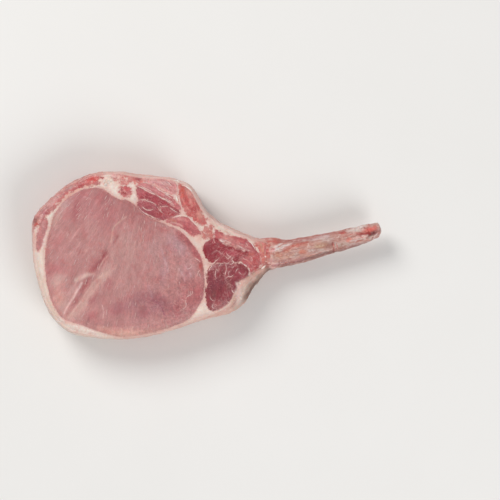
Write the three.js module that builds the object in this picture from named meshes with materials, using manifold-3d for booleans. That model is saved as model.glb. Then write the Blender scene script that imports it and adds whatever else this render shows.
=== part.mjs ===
// A raw rib pork chop with its long rib bone, lying flat on its cut face.
// Millimetres, +Z up. +X runs out along the bone, +Y towards the rib side of the meat.
// The origin is under the middle of the whole chop, on the surface it lies on.

import * as THREE from 'three';
import * as BufferGeometryUtils from 'three/addons/utils/BufferGeometryUtils.js';
import Module from 'manifold-3d';

// ---- Driving dimensions -----------------------------------------------------------

const THICKNESS = 28.5; // cut thickness at the edge of the loin eye
const EYE_CROWN = 1.5; // how far the middle of the loin eye stands above its edge
const SEAM_DEPTH = 0.9; // the valley between the loin eye and its neighbours
const SEAM_HALF_WIDTH = 1.6;
const FOOT_RADIUS = 4; // rounding where the wall meets the flat underside
const RIM_RADIUS = 3.2; // rounding where the wall meets the upper cut face
const FLAT_PART = 0.72; // reach of the flat spot to rest on, as a part of the underside's

const OUTLINE_SEGMENTS = 124;
const FOOT_STEPS = 3; // rings in the rounding at the foot
const RIM_STEPS = 3; // rings in the rounding at the rim
const WALL_STEPS = 3; // rings up the wall between the two roundings
const SHOULDER_STEPS = 3; // rings across the cap and rib muscles, outside the eye
const EYE_RINGS = [0.86, 0.62, 0.38, 0.16]; // rings across the loin eye, as parts of it

// The meat seen from above, counterclockwise from the rib side of the bone.
const OUTLINE = [
  [27, 10.9], [20, 13.0], [13, 15.9], [6, 20.0], [-1, 26.8], [-5.5, 34.2], [-9.5, 40.2],
  [-16, 43.8], [-28, 46.0], [-40, 47.0], [-50, 49.0], [-60, 48.4], [-70, 46.6], [-78, 43.0],
  [-86, 37.6], [-92, 32.0], [-98, 26.4], [-101.8, 19.6], [-102, 8], [-101, -5], [-98.3, -16],
  [-94.4, -28], [-88.8, -37.6], [-79.5, -44.7], [-67, -47.8], [-54, -49], [-40, -48],
  [-24, -44.4], [-8, -39.3], [6, -35.6], [13.5, -33.2], [19, -30], [23.8, -24], [28, -18],
  [33.5, -12.2], [37.5, -7], [39, 0.8], [37.5, 8],
];

// The loin eye, the large round muscle, in the same view.
const EYE = [
  [-66.6, 40.3], [-72, 38.9], [-78.4, 35.3], [-83.8, 31.6], [-88.3, 25.3], [-92, 16.2],
  [-94, 5], [-94, -10], [-91.5, -23.5], [-87, -33], [-79, -38.6], [-68, -42.5], [-54, -45.5],
  [-40, -45.8], [-25, -42.6], [-11, -36.5], [-4, -30], [-1.2, -21], [-1, -12], [-2.4, -4],
  [-6, 4.6], [-12.2, 11.7], [-21, 17.2], [-32, 22.2], [-38.5, 25.8], [-46, 31.2], [-56, 35.8],
];
const EYE_CENTRE = new THREE.Vector2(-46, -2);

// Soft swellings of the muscles round the eye: place, reach and height.
const SWELLINGS = [
  { x: -24, y: 33, reach: 15, height: 1.0 }, // cap muscles
  { x: -5, y: 24, reach: 11, height: 0.5 }, // meat between the ribs
  { x: 10, y: 2, reach: 12, height: 0.8 }, // upper dark lobe
  { x: 9, y: -19, reach: 12, height: 0.9 }, // lower dark lobe
];

// Both faces close in on the root of the bone, and the upper one falls a little towards
// the backbone side.
const NECK = { from: 16, to: 39, drop: 5.6, rise: 3.2 };
const CHINE = { x: -78, y: 46, reach: 17, drop: 1.8 };

// How far the wall leans in between the belly of the wall and the rim.
const WALL_LEAN = 1.2;
const FLANK = { x: 24, y: -24, reach: 19, lean: 6.5 }; // the sloping flank below the bone
const BELLY_HEIGHT = 0.42; // height of the widest level, as a part of the thickness
const FOOT_LEAN = 1.4; // how far the wall leans in towards the foot

// The rib: its middle line from the end buried in the meat to the free end.
const BONE_LINE = [
  [21, 0.6, 14.2], [37, 0.9, 14], [51, 2.3, 13.8], [65, 5.5, 13.7], [79, 9.0, 13.7],
  [93, 12.8, 13.8], [100.8, 15.2, 13.9],
];
const BONE_RINGS = 26;
const BONE_SIDES = 24;
// Half width and half height of the rib at parts of its length.
const BONE_SECTIONS = [
  { at: 0, across: 6.2, high: 6.4 },
  { at: 0.2, across: 8.8, high: 7.3 },
  { at: 0.38, across: 7.7, high: 7.2 },
  { at: 0.66, across: 6.4, high: 6.8 },
  { at: 0.93, across: 5.6, high: 6.4 },
  { at: 1, across: 4.6, high: 5.4 },
];
const BONE_END_SWELL = 1; // how far the free end rounds out past its last ring
const SOCKET_GAP = 0.3; // all round the buried end of the rib

// ---- Small tools ------------------------------------------------------------------

const smooth = (from, to, value) => THREE.MathUtils.smoothstep(value, from, to);

const hump = (x, y, { x: cx, y: cy, reach }) =>
  Math.exp(-((x - cx) ** 2 + (y - cy) ** 2) / (reach * reach));

function closedCurve(points) {
  const spots = points.map(([x, y]) => new THREE.Vector3(x, y, 0));
  return new THREE.CatmullRomCurve3(spots, true, 'centripetal');
}

// Distance from a centre to a closed loop of points, along one direction.
function reachOf(loop, centre, direction) {
  let reach = 0;
  loop.forEach((start, index) => {
    const end = loop[(index + 1) % loop.length];
    const edge = new THREE.Vector2(end.x - start.x, end.y - start.y);
    const offset = new THREE.Vector2(start.x - centre.x, start.y - centre.y);
    const turn = direction.x * edge.y - direction.y * edge.x;
    const along = (offset.x * edge.y - offset.y * edge.x) / turn;
    const part = (offset.x * direction.y - offset.y * direction.x) / turn;
    if (part >= 0 && part <= 1 && along > reach) reach = along;
  });
  return reach;
}

// Closed skin over rings of equal count, each end closed by a fan to its middle point.
function loft(rings, firstMiddle, lastMiddle) {
  const count = rings[0].length;
  const positions = rings.flat().flatMap((point) => point.toArray());
  const faces = [];
  for (let ring = 0; ring + 1 < rings.length; ring += 1) {
    for (let side = 0; side < count; side += 1) {
      const next = (side + 1) % count;
      const a = ring * count + side;
      const b = ring * count + next;
      faces.push(a, b, b + count, a, b + count, a + count);
    }
  }
  const first = rings.length * count;
  const last = first + 1;
  const lastRing = (rings.length - 1) * count;
  positions.push(...firstMiddle.toArray(), ...lastMiddle.toArray());
  for (let side = 0; side < count; side += 1) {
    const next = (side + 1) % count;
    faces.push(first, next, side);
    faces.push(last, lastRing + side, lastRing + next);
  }
  const geometry = new THREE.BufferGeometry();
  geometry.setAttribute('position', new THREE.Float32BufferAttribute(positions, 3));
  geometry.setIndex(faces);
  return geometry;
}

// ---- The meat ---------------------------------------------------------------------

// Height of the upper cut face, before the crown and the seam of the loin eye.
function faceHeight(x, y) {
  const swell = SWELLINGS.reduce((sum, lobe) => sum + lobe.height * hump(x, y, lobe), 0);
  const neck = NECK.drop * smooth(NECK.from, NECK.to, x);
  return THICKNESS + swell - neck - CHINE.drop * hump(x, y, CHINE);
}

// Height of the underside, which is flat but for the neck.
const footHeight = (x) => NECK.rise * smooth(NECK.from, NECK.to, x);

// One ring of the wall: each outline point moved in along its own normal.
function wallRing(outline, inset, height) {
  return outline.map(({ point, normal }) => {
    const move = inset(point);
    const x = point.x - normal.x * move;
    const y = point.y - normal.y * move;
    return new THREE.Vector3(x, y, height(x, y));
  });
}

function wallRings(outline) {
  const rimLean = (point) => WALL_LEAN + FLANK.lean * hump(point.x, point.y, FLANK);
  const rings = [];
  for (let step = 0; step <= FOOT_STEPS; step += 1) {
    const angle = (step / FOOT_STEPS) * (Math.PI / 2);
    const inset = FOOT_LEAN + FOOT_RADIUS * (1 - Math.sin(angle));
    const lift = FOOT_RADIUS * (1 - Math.cos(angle));
    rings.push(wallRing(outline, () => inset, (x) => footHeight(x) + lift));
  }
  for (let step = 1; step <= WALL_STEPS; step += 1) {
    const part = step / (WALL_STEPS + 1);
    const below = 1 - smooth(0, BELLY_HEIGHT, part);
    const above = smooth(BELLY_HEIGHT, 1, part);
    const inset = (point) => FOOT_LEAN * below + rimLean(point) * above;
    rings.push(wallRing(outline, inset, (x, y) => {
      const bottom = footHeight(x) + FOOT_RADIUS;
      return THREE.MathUtils.lerp(bottom, faceHeight(x, y) - RIM_RADIUS, part);
    }));
  }
  for (let step = 0; step <= RIM_STEPS; step += 1) {
    const angle = (step / RIM_STEPS) * (Math.PI / 2);
    const inset = (point) => rimLean(point) + RIM_RADIUS * (1 - Math.cos(angle));
    const drop = RIM_RADIUS * (1 - Math.sin(angle));
    rings.push(wallRing(outline, inset, (x, y) => faceHeight(x, y) - drop));
  }
  return rings;
}

// The ring where the flat underside starts to rise towards the neck.
function footRing(firstRing) {
  return firstRing.map(({ x, y }) => new THREE.Vector3(
    THREE.MathUtils.lerp(EYE_CENTRE.x, x, FLAT_PART),
    THREE.MathUtils.lerp(EYE_CENTRE.y, y, FLAT_PART),
    0,
  ));
}

// Rings of the upper face, from inside the rim to the middle of the loin eye.
function faceRings(rimRing) {
  const eyeLoop = closedCurve(EYE).getSpacedPoints(OUTLINE_SEGMENTS);
  const spokes = rimRing.map((point) => {
    const spoke = new THREE.Vector2(point.x - EYE_CENTRE.x, point.y - EYE_CENTRE.y);
    const rim = spoke.length();
    const direction = spoke.normalize();
    const widest = rim - 2 * SEAM_HALF_WIDTH;
    return { direction, rim, eye: Math.min(reachOf(eyeLoop, EYE_CENTRE, direction), widest) };
  });
  const ring = (distance, lift) => spokes.map((spoke) => {
    const reach = distance(spoke);
    const x = EYE_CENTRE.x + spoke.direction.x * reach;
    const y = EYE_CENTRE.y + spoke.direction.y * reach;
    return new THREE.Vector3(x, y, faceHeight(x, y) + lift);
  });
  const rings = [];
  for (let step = 1; step < SHOULDER_STEPS; step += 1) {
    const part = step / SHOULDER_STEPS;
    rings.push(ring(({ rim, eye }) => {
      return THREE.MathUtils.lerp(rim, eye + SEAM_HALF_WIDTH, part);
    }, 0));
  }
  rings.push(ring(({ eye }) => eye + SEAM_HALF_WIDTH, 0));
  rings.push(ring(({ eye }) => eye, -SEAM_DEPTH));
  rings.push(ring(({ eye }) => eye - SEAM_HALF_WIDTH, 0));
  EYE_RINGS.forEach((part) => {
    rings.push(ring(({ eye }) => eye * part, EYE_CROWN * (1 - part * part)));
  });
  return rings;
}

function meatGeometry() {
  const curve = closedCurve(OUTLINE);
  const outline = [];
  for (let step = 0; step < OUTLINE_SEGMENTS; step += 1) {
    const part = step / OUTLINE_SEGMENTS;
    const tangent = curve.getTangentAt(part);
    outline.push({ point: curve.getPointAt(part), normal: new THREE.Vector2(tangent.y, -tangent.x) });
  }
  const walls = wallRings(outline);
  const face = faceRings(walls[walls.length - 1]);
  const middle = new THREE.Vector3(EYE_CENTRE.x, EYE_CENTRE.y, 0);
  const crown = middle.clone().setZ(faceHeight(middle.x, middle.y) + EYE_CROWN);
  return loft([footRing(walls[0]), ...walls, ...face], middle, crown);
}

// ---- The rib bone -----------------------------------------------------------------

function boneSection(part) {
  const next = Math.max(1, BONE_SECTIONS.findIndex(({ at }) => at >= part));
  const [low, high] = [BONE_SECTIONS[next - 1], BONE_SECTIONS[next]];
  const blend = smooth(low.at, high.at, part);
  return {
    across: THREE.MathUtils.lerp(low.across, high.across, blend),
    high: THREE.MathUtils.lerp(low.high, high.high, blend),
  };
}

// The rib as oval rings along its line; a clearance makes it larger all round.
function boneGeometry(clearance) {
  const line = new THREE.CatmullRomCurve3(BONE_LINE.map((spot) => new THREE.Vector3(...spot)));
  const up = new THREE.Vector3(0, 0, 1);
  const rings = [];
  for (let step = 0; step <= BONE_RINGS; step += 1) {
    const part = step / BONE_RINGS;
    const middle = line.getPointAt(part);
    const aside = new THREE.Vector3().crossVectors(up, line.getTangentAt(part)).normalize();
    const { across, high } = boneSection(part);
    const ring = [];
    for (let side = 0; side < BONE_SIDES; side += 1) {
      const angle = (side / BONE_SIDES) * 2 * Math.PI;
      ring.push(middle.clone()
        .addScaledVector(aside, Math.cos(angle) * (across + clearance))
        .addScaledVector(up, Math.sin(angle) * (high + clearance)));
    }
    rings.push(ring);
  }
  const [rootWay, freeWay] = [line.getTangentAt(0), line.getTangentAt(1)];
  const rootEnd = line.getPointAt(0).addScaledVector(rootWay, -clearance);
  const freeEnd = line.getPointAt(1).addScaledVector(freeWay, BONE_END_SWELL + clearance);
  rings[0].forEach((point) => point.addScaledVector(rootWay, -clearance));
  return loft(rings, rootEnd, freeEnd);
}

// ---- Cutting the socket -----------------------------------------------------------

const wasm = await Module();
wasm.setup();

function toSolid(geometry) {
  const merged = BufferGeometryUtils.mergeVertices(geometry);
  return new wasm.Manifold(new wasm.Mesh({
    numProp: 3,
    vertProperties: new Float32Array(merged.attributes.position.array),
    triVerts: new Uint32Array(merged.index.array),
  }));
}

function toGeometry(solid) {
  const { vertProperties, triVerts } = solid.getMesh();
  const geometry = new THREE.BufferGeometry();
  geometry.setAttribute('position', new THREE.BufferAttribute(vertProperties, 3));
  geometry.setIndex(new THREE.BufferAttribute(triVerts, 1));
  geometry.computeVertexNormals();
  return geometry;
}

// ---- The chop ---------------------------------------------------------------------

const meatFinish = new THREE.MeshStandardMaterial({
  color: 0xb88381,
  roughness: 0.38,
  metalness: 0,
});

const boneFinish = new THREE.MeshStandardMaterial({
  color: 0xc69a8c,
  roughness: 0.42,
  metalness: 0,
});

const meat = new THREE.Mesh(
  toGeometry(toSolid(meatGeometry()).subtract(toSolid(boneGeometry(SOCKET_GAP)))),
  meatFinish,
);
meat.name = 'chop_meat';

const bone = new THREE.Mesh(toGeometry(toSolid(boneGeometry(0))), boneFinish);
bone.name = 'rib_bone';

const chop = new THREE.Group();
chop.add(meat, bone);

// The middle of the whole chop, seen from above, comes over the origin.
const box = new THREE.Box3().setFromObject(chop);
const centre = box.getCenter(new THREE.Vector3());
chop.position.set(-centre.x, -centre.y, -box.min.z);

export default chop;
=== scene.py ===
"""A raw long-bone rib pork chop, lying on its lower cut face.

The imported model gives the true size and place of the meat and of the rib. Each is given a fine
skin here, with its muscles, fat, sinew and membrane. Places are in millimetres in the same frame.
"""

import math

import bmesh
import bpy
import numpy as np
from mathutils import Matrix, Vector


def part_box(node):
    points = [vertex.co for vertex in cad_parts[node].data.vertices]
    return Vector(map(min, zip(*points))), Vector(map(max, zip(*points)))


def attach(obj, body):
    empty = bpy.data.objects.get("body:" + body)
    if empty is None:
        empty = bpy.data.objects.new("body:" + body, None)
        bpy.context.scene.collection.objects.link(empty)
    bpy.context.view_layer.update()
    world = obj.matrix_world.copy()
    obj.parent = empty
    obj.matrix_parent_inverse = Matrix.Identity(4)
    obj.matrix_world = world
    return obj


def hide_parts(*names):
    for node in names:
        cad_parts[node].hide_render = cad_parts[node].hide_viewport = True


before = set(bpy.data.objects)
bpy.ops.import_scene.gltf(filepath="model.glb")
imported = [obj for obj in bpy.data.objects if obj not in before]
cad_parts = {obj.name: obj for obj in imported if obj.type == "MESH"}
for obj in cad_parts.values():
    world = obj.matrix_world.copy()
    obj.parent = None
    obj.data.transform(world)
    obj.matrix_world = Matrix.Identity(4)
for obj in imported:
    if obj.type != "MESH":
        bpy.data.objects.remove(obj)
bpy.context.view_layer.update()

MM = 0.001
MEAT_BOX = [Vector(corner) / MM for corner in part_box("chop_meat")]
BONE_BOX = [Vector(corner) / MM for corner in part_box("rib_bone")]
FACE_HEIGHT = MEAT_BOX[1].z

MEAT_FACE_SIZE = 0.535
BONE_FACE_SIZE = 0.42
MEAT_SINK = 0.35  # the skins lie this much under the solids, before their relief is added
BONE_SINK = 0.4
FAT_GRAIN = 1.7  # how far apart the grains of the fat are
EDGE_REACH = 8.0  # the distance to a muscle's outline is worked out no further than this
PLUG_END = 36.0  # the buried end of the rib is filled as far as this along X
PLUG_GROWTH = 0.7
CUFF_START = 37.0  # the sleeve round the rib thins out from here along X
CUFF_END = 58.0
SEED = 7


def rgb(red, green, blue):
    """A colour given as 0 to 255 display values, as the light-linear numbers that Blender uses."""
    shares = np.array([red, green, blue]) / 255
    return np.where(shares <= 0.04045, shares / 12.92, ((shares + 0.055) / 1.055) ** 2.4)


# ---- Colours of the chop ---------------------------------------------------------------------

EYE_PINK = rgb(190, 134, 131)
ROSE = rgb(184, 112, 114)
PALE_ROSE = rgb(206, 158, 152)
MAUVE = rgb(164, 106, 113)
CRIMSON = rgb(158, 70, 78)
BLOOD = rgb(128, 46, 44)
CREAM = rgb(228, 208, 197)
WHITE_FAT = rgb(235, 221, 211)
PINK_FAT = rgb(226, 186, 176)
BONE_PINK = rgb(202, 154, 142)
BONE_GREY = rgb(202, 178, 170)
# A pale tone laid on the upper wall: part fat, part painted light.
BRIM_FAT_AND_LIGHT = rgb(242, 216, 207)
# Dark brown laid along the rib's lower edge: painted shade of its round side.
LOWER_EDGE_SHADE = rgb(122, 66, 60)
UPPER_EDGE_RED = rgb(178, 88, 82)
MEMBRANE_RED = rgb(184, 108, 96)

# Tones that the finishes lay over the painted colours. The tints multiply what is under them.
LEAN_TONES = {
    "rosy_tint": rgb(255, 214, 216), "deep_tint": rgb(248, 216, 220), "fibre_wall": rgb(222, 178, 170),
    "streak": rgb(222, 176, 168), "sinew": rgb(224, 174, 170), "speckle": rgb(218, 150, 146),
}
FAT_TONES = {
    "beside_lean": rgb(214, 152, 142), "pink_cloud": rgb(220, 166, 152), "pale_cloud": rgb(233, 214, 198),
    "vessel": rgb(190, 96, 90), "between_grains": rgb(206, 156, 142),
}
BONE_TONES = {
    "pale_streak": rgb(220, 194, 186), "red_streak": rgb(158, 80, 70), "pale_thread": rgb(226, 194, 182),
    "red_thread": rgb(142, 72, 64), "tan_cloud": rgb(212, 152, 124), "blood_cloud": rgb(158, 56, 50),
    # speck: pale specks that are painted glints of the wet membrane.
    "speck": rgb(242, 220, 212), "pit": rgb(150, 84, 74),
}
SINEW_TONES = {
    "pale sinew": (rgb(234, 204, 196), rgb(222, 174, 166)),
    # white sinew: near-white, also used for painted glints.
    "white sinew and glints": (rgb(248, 238, 230), rgb(238, 214, 204)),
    "marbling": (rgb(212, 168, 162), rgb(200, 146, 140)),
    "pink shreds": (rgb(226, 176, 164), rgb(196, 100, 92)),
    "soft fat": (rgb(234, 216, 204), rgb(228, 196, 182)),
}

# ---- Muscles on the cut face -----------------------------------------------------------------
# Each is an island of lean in the fat. The outline runs through the points as a smooth loop.
# grain: the way the fibres run, in degrees from +X towards +Y. The eye's fibres fan out instead.
# bulge: how far the muscle swells out of its seams. mottle: how much fat is mixed into it.

MUSCLES = {
    "loin_eye": {
        "outline": [
            (-64.9, 39.6), (-61.0, 38.6), (-57.5, 36.6), (-53.8, 34.3), (-50.2, 32.6), (-46.8, 32.0),
            (-43.0, 30.0), (-40.1, 27.1), (-38.0, 24.8), (-34.9, 23.2), (-30.5, 21.0), (-27.5, 19.6),
            (-24.6, 18.5), (-22.3, 17.3), (-18.6, 15.9), (-15.0, 13.9), (-12.0, 11.2), (-9.2, 8.0),
            (-6.0, 3.6), (-3.9, 0.2), (-2.9, -3.5), (-1.9, -8.4), (-1.4, -13.6), (-1.4, -18.8),
            (-2.2, -24.0), (-4.6, -29.0), (-7.0, -32.8), (-9.9, -36.6), (-14.0, -39.6),
            (-20.0, -41.8), (-27.0, -44.2), (-35.0, -46.4), (-42.0, -47.5), (-50.0, -47.8),
            (-55.0, -46.6), (-60.5, -45.0), (-66.2, -43.0), (-71.6, -40.8), (-78.0, -38.7),
            (-82.8, -37.2), (-86.8, -33.4), (-89.7, -28.0), (-91.6, -22.6), (-93.1, -16.0),
            (-93.9, -8.0), (-94.2, 0.0), (-93.4, 6.3), (-92.3, 11.8), (-91.1, 16.0), (-89.7, 21.8),
            (-87.4, 26.0), (-83.4, 30.9), (-79.0, 34.4), (-74.0, 37.2), (-70.0, 38.9),
        ],
        "lean": EYE_PINK, "bulge": 0.5, "mottle": 0.0,
    },
    "edge_strip": {
        "outline": [
            (-93.8, 21.2), (-92.6, 18.4), (-93.6, 14.4), (-95.0, 10.4), (-96.3, 6.4), (-97.6, 2.8),
            (-99.1, 5.6), (-98.6, 11.0), (-97.3, 16.2), (-95.8, 19.8),
        ],
        "lean": rgb(196, 132, 130), "grain": 75, "bulge": 0.25, "mottle": 0.6,
    },
    "chine_trim": {
        "outline": [
            (-103.0, 16.0), (-103.5, 20.0), (-99.0, 27.5), (-92.0, 34.0), (-86.0, 40.0),
            (-78.0, 45.0), (-70.0, 48.5), (-64.0, 49.5), (-61.2, 48.2), (-63.2, 46.8),
            (-60.2, 45.2), (-63.8, 44.0), (-62.2, 42.6), (-65.0, 41.4),
            (-70.0, 40.4), (-75.6, 39.0), (-80.2, 36.7), (-84.2, 33.6), (-87.6, 29.6),
            (-91.2, 25.2), (-94.6, 21.6), (-97.0, 18.2), (-100.2, 16.2),
        ],
        "lean": rgb(192, 124, 120), "grain": 40, "bulge": 0.2, "mottle": 1.5,
    },
    "red_spot": {
        "outline": [
            (-51.4, 37.9), (-49.4, 39.7), (-46.2, 39.9), (-44.7, 38.0), (-44.6, 35.8),
            (-46.4, 34.4), (-49.4, 34.9), (-51.2, 36.2),
        ],
        "lean": rgb(188, 92, 94), "grain": 20, "bulge": 0.35, "mottle": 1.15,
    },
    "top_strip": {
        "outline": [
            (-58.0, 49.4), (-50.0, 49.6), (-43.0, 47.8), (-34.0, 46.6), (-27.0, 46.0),
            (-30.5, 44.2), (-36.4, 43.4), (-39.4, 42.4), (-42.6, 42.6), (-46.4, 41.6),
            (-50.4, 42.0), (-52.6, 43.6), (-55.4, 46.4),
        ],
        "lean": rgb(208, 134, 128), "grain": -20, "bulge": 0.2, "mottle": 1.7,
    },
    "cap_top": {
        "outline": [
            (-35.6, 43.0), (-32.4, 44.4), (-26.8, 45.8), (-21.6, 45.4), (-18.4, 43.4), (-17.3, 41.0),
            (-17.7, 37.0), (-19.4, 35.2), (-23.3, 37.0), (-26.6, 39.0), (-29.4, 41.2), (-32.6, 42.0),
        ],
        "lean": rgb(218, 157, 154), "grain": -36, "bulge": 0.3, "mottle": 0.9,
    },
    "cap_middle": {
        "outline": [
            (-41.2, 40.2), (-37.5, 42.0), (-32.7, 41.4), (-29.8, 39.6), (-26.9, 37.6),
            (-23.5, 35.7), (-20.0, 34.0), (-18.5, 31.6), (-17.1, 29.9), (-15.4, 28.2),
            (-16.3, 26.9), (-17.9, 28.0), (-20.9, 30.1), (-23.1, 31.9), (-25.3, 33.4),
            (-28.3, 34.8), (-32.0, 36.4), (-35.7, 38.3), (-38.8, 39.3),
        ],
        "lean": rgb(196, 114, 116), "grain": -36, "bulge": 0.35, "mottle": 0.6,
    },
    "cap_dark": {
        "outline": [
            (-40.8, 38.8), (-38.1, 38.7), (-35.5, 37.4), (-32.0, 35.6), (-28.4, 34.1),
            (-25.4, 32.5), (-23.2, 30.5), (-20.2, 28.6), (-17.4, 27.0), (-16.0, 25.3),
            (-17.5, 25.0), (-20.8, 26.8), (-23.8, 28.7), (-26.6, 29.3), (-28.8, 28.6),
            (-30.9, 30.6), (-33.8, 32.1), (-36.8, 33.0), (-39.4, 32.6), (-40.4, 35.0),
        ],
        "lean": rgb(160, 64, 74), "grain": -34, "bulge": 0.4, "mottle": 0.4,
    },
    "cap_sliver": {
        "outline": [
            (-26.7, 28.6), (-24.4, 28.5), (-21.5, 27.0), (-18.9, 25.2), (-16.4, 24.0),
            (-18.6, 23.4), (-22.0, 22.0), (-24.0, 21.4), (-25.3, 23.4), (-26.5, 26.1),
        ],
        "lean": rgb(172, 84, 90), "grain": -36, "bulge": 0.3, "mottle": 0.5,
    },
    "cap_low": {
        "outline": [
            (-40.0, 31.0), (-37.1, 32.4), (-34.0, 31.9), (-31.6, 30.6), (-29.4, 28.7),
            (-27.4, 26.5), (-25.5, 24.2), (-24.3, 20.8), (-26.8, 20.5), (-29.7, 21.5),
            (-32.7, 22.6), (-35.6, 23.9), (-38.0, 25.5), (-39.9, 27.3), (-41.1, 29.3),
        ],
        "lean": rgb(166, 80, 88), "grain": -30, "bulge": 0.35, "mottle": 0.5,
    },
    "lens": {
        "outline": [
            (-23.8, 20.0), (-20.6, 21.0), (-17.2, 22.2), (-14.0, 22.4), (-10.9, 21.5),
            (-8.6, 19.4), (-6.4, 17.2), (-4.4, 14.8), (-3.6, 13.2), (-5.4, 12.2), (-7.9, 12.0),
            (-10.5, 12.8), (-13.0, 14.5), (-15.3, 16.4), (-18.3, 17.4), (-21.0, 18.4),
        ],
        "lean": rgb(190, 106, 108), "grain": -30, "bulge": 0.35, "mottle": 0.7,
    },
    "rib_gap_meat": {
        "outline": [
            (-16.2, 42.6), (-13.6, 40.8), (-10.2, 38.4), (-7.8, 36.0), (-6.0, 33.4),
            (-4.6, 30.0), (-3.4, 27.0), (-2.4, 24.1), (-1.2, 21.4), (-0.4, 19.2),
            (-2.6, 18.4), (-5.0, 19.4), (-7.6, 20.5), (-9.4, 22.4), (-11.6, 24.3),
            (-13.3, 26.6), (-14.4, 29.6), (-15.2, 33.0), (-16.0, 36.7), (-16.6, 39.9),
        ],
        "lean": rgb(198, 108, 103), "grain": 108, "bulge": 0.35, "mottle": 1.1,
    },
    "gap_scraps": {
        "outline": [
            (-2.4, 10.4), (-2.2, 13.2), (-0.8, 16.6), (1.4, 18.0), (3.0, 17.0), (3.2, 13.0),
            (3.0, 9.8), (1.4, 9.0), (-0.6, 9.4),
        ],
        "lean": rgb(198, 124, 116), "grain": 100, "bulge": 0.2, "mottle": 1.5,
    },
    "dark_upper": {
        "outline": [
            (-1.3, 0.8), (-1.7, 4.3), (-1.8, 6.6), (0.2, 8.6), (2.8, 9.5), (4.8, 9.6), (6.6, 8.8),
            (8.4, 7.4), (10.3, 6.1), (13.7, 5.2), (17.3, 4.1), (20.9, 2.6), (24.6, 1.4),
            (23.6, -0.6), (20.9, -2.2), (18.6, -3.8), (16.2, -3.6), (13.6, -4.5), (10.6, -4.4),
            (8.0, -4.2), (5.8, -3.5), (3.4, -3.8), (1.3, -3.0), (-0.4, -1.4),
        ],
        "lean": rgb(150, 46, 56), "grain": 30, "bulge": 0.4, "mottle": 0.6,
    },
    "rib_meat": {
        "outline": [
            (4.2, 12.0), (4.8, 14.6), (8.0, 13.8), (10.1, 12.0), (13.7, 10.7), (17.3, 10.0),
            (20.9, 9.9), (23.6, 8.7), (26.6, 5.8), (28.6, 2.7), (30.5, -0.4), (31.2, -2.9),
            (30.7, -5.5), (29.1, -8.1), (26.8, -10.2), (25.2, -10.2), (24.5, -8.3),
            (22.8, -6.0), (20.4, -4.2), (18.9, -2.6), (21.6, 0.2), (24.4, 2.2), (20.9, 3.7),
            (17.3, 5.1), (13.7, 6.3), (10.6, 7.6), (8.2, 8.9), (5.6, 9.8),
        ],
        "lean": rgb(184, 92, 95), "grain": -25, "bulge": 0.35, "mottle": 0.9,
    },
    "neck_meat": {
        "outline": [
            (28.9, 8.2), (31.6, 9.2), (36.0, 9.6), (42.0, 9.0), (42.0, -7.0), (36.0, -8.4),
            (32.0, -10.6), (28.6, -10.8), (29.4, -8.6), (31.4, -7.2), (32.4, -5.0), (31.9, -2.2),
            (30.8, 1.2), (29.8, 3.8), (28.6, 6.2),
        ],
        "lean": rgb(204, 116, 106), "grain": 75, "bulge": 0.2, "mottle": 1.2,
    },
    "dark_lower": {
        "outline": [
            (0.2, -9.8), (1.6, -7.3), (4.0, -5.5), (7.0, -4.8), (9.4, -4.2), (11.6, -3.9),
            (14.4, -3.9), (16.4, -4.4), (17.8, -5.0), (19.9, -5.0), (22.3, -6.5), (23.8, -8.7),
            (24.0, -11.0), (23.2, -13.4), (21.2, -14.4), (19.4, -14.4), (17.8, -15.8), (17.0, -17.4),
            (17.6, -19.6), (16.8, -22.2), (16.2, -24.6), (16.0, -27.6), (14.4, -30.6),
            (11.1, -32.6), (7.5, -33.1),
            (4.0, -32.4), (0.9, -30.4), (-0.4, -26.1), (-0.4, -21.0), (-0.1, -16.9), (0.1, -13.2),
        ],
        "lean": rgb(144, 62, 70), "grain": 84, "bulge": 0.5, "mottle": 0.8,
    },
}
OUTLINE_WOBBLE = 0.5
OUTLINE_GROWTH = 0.4  # every muscle but the eye fills its outline and this much more
EYE_FAN = (-22.0, 98.0)  # the eye's fibres spread like a fan from here
NOISE_SHIFT = 40  # keeps the fibres of one muscle unlike those of the next

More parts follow.
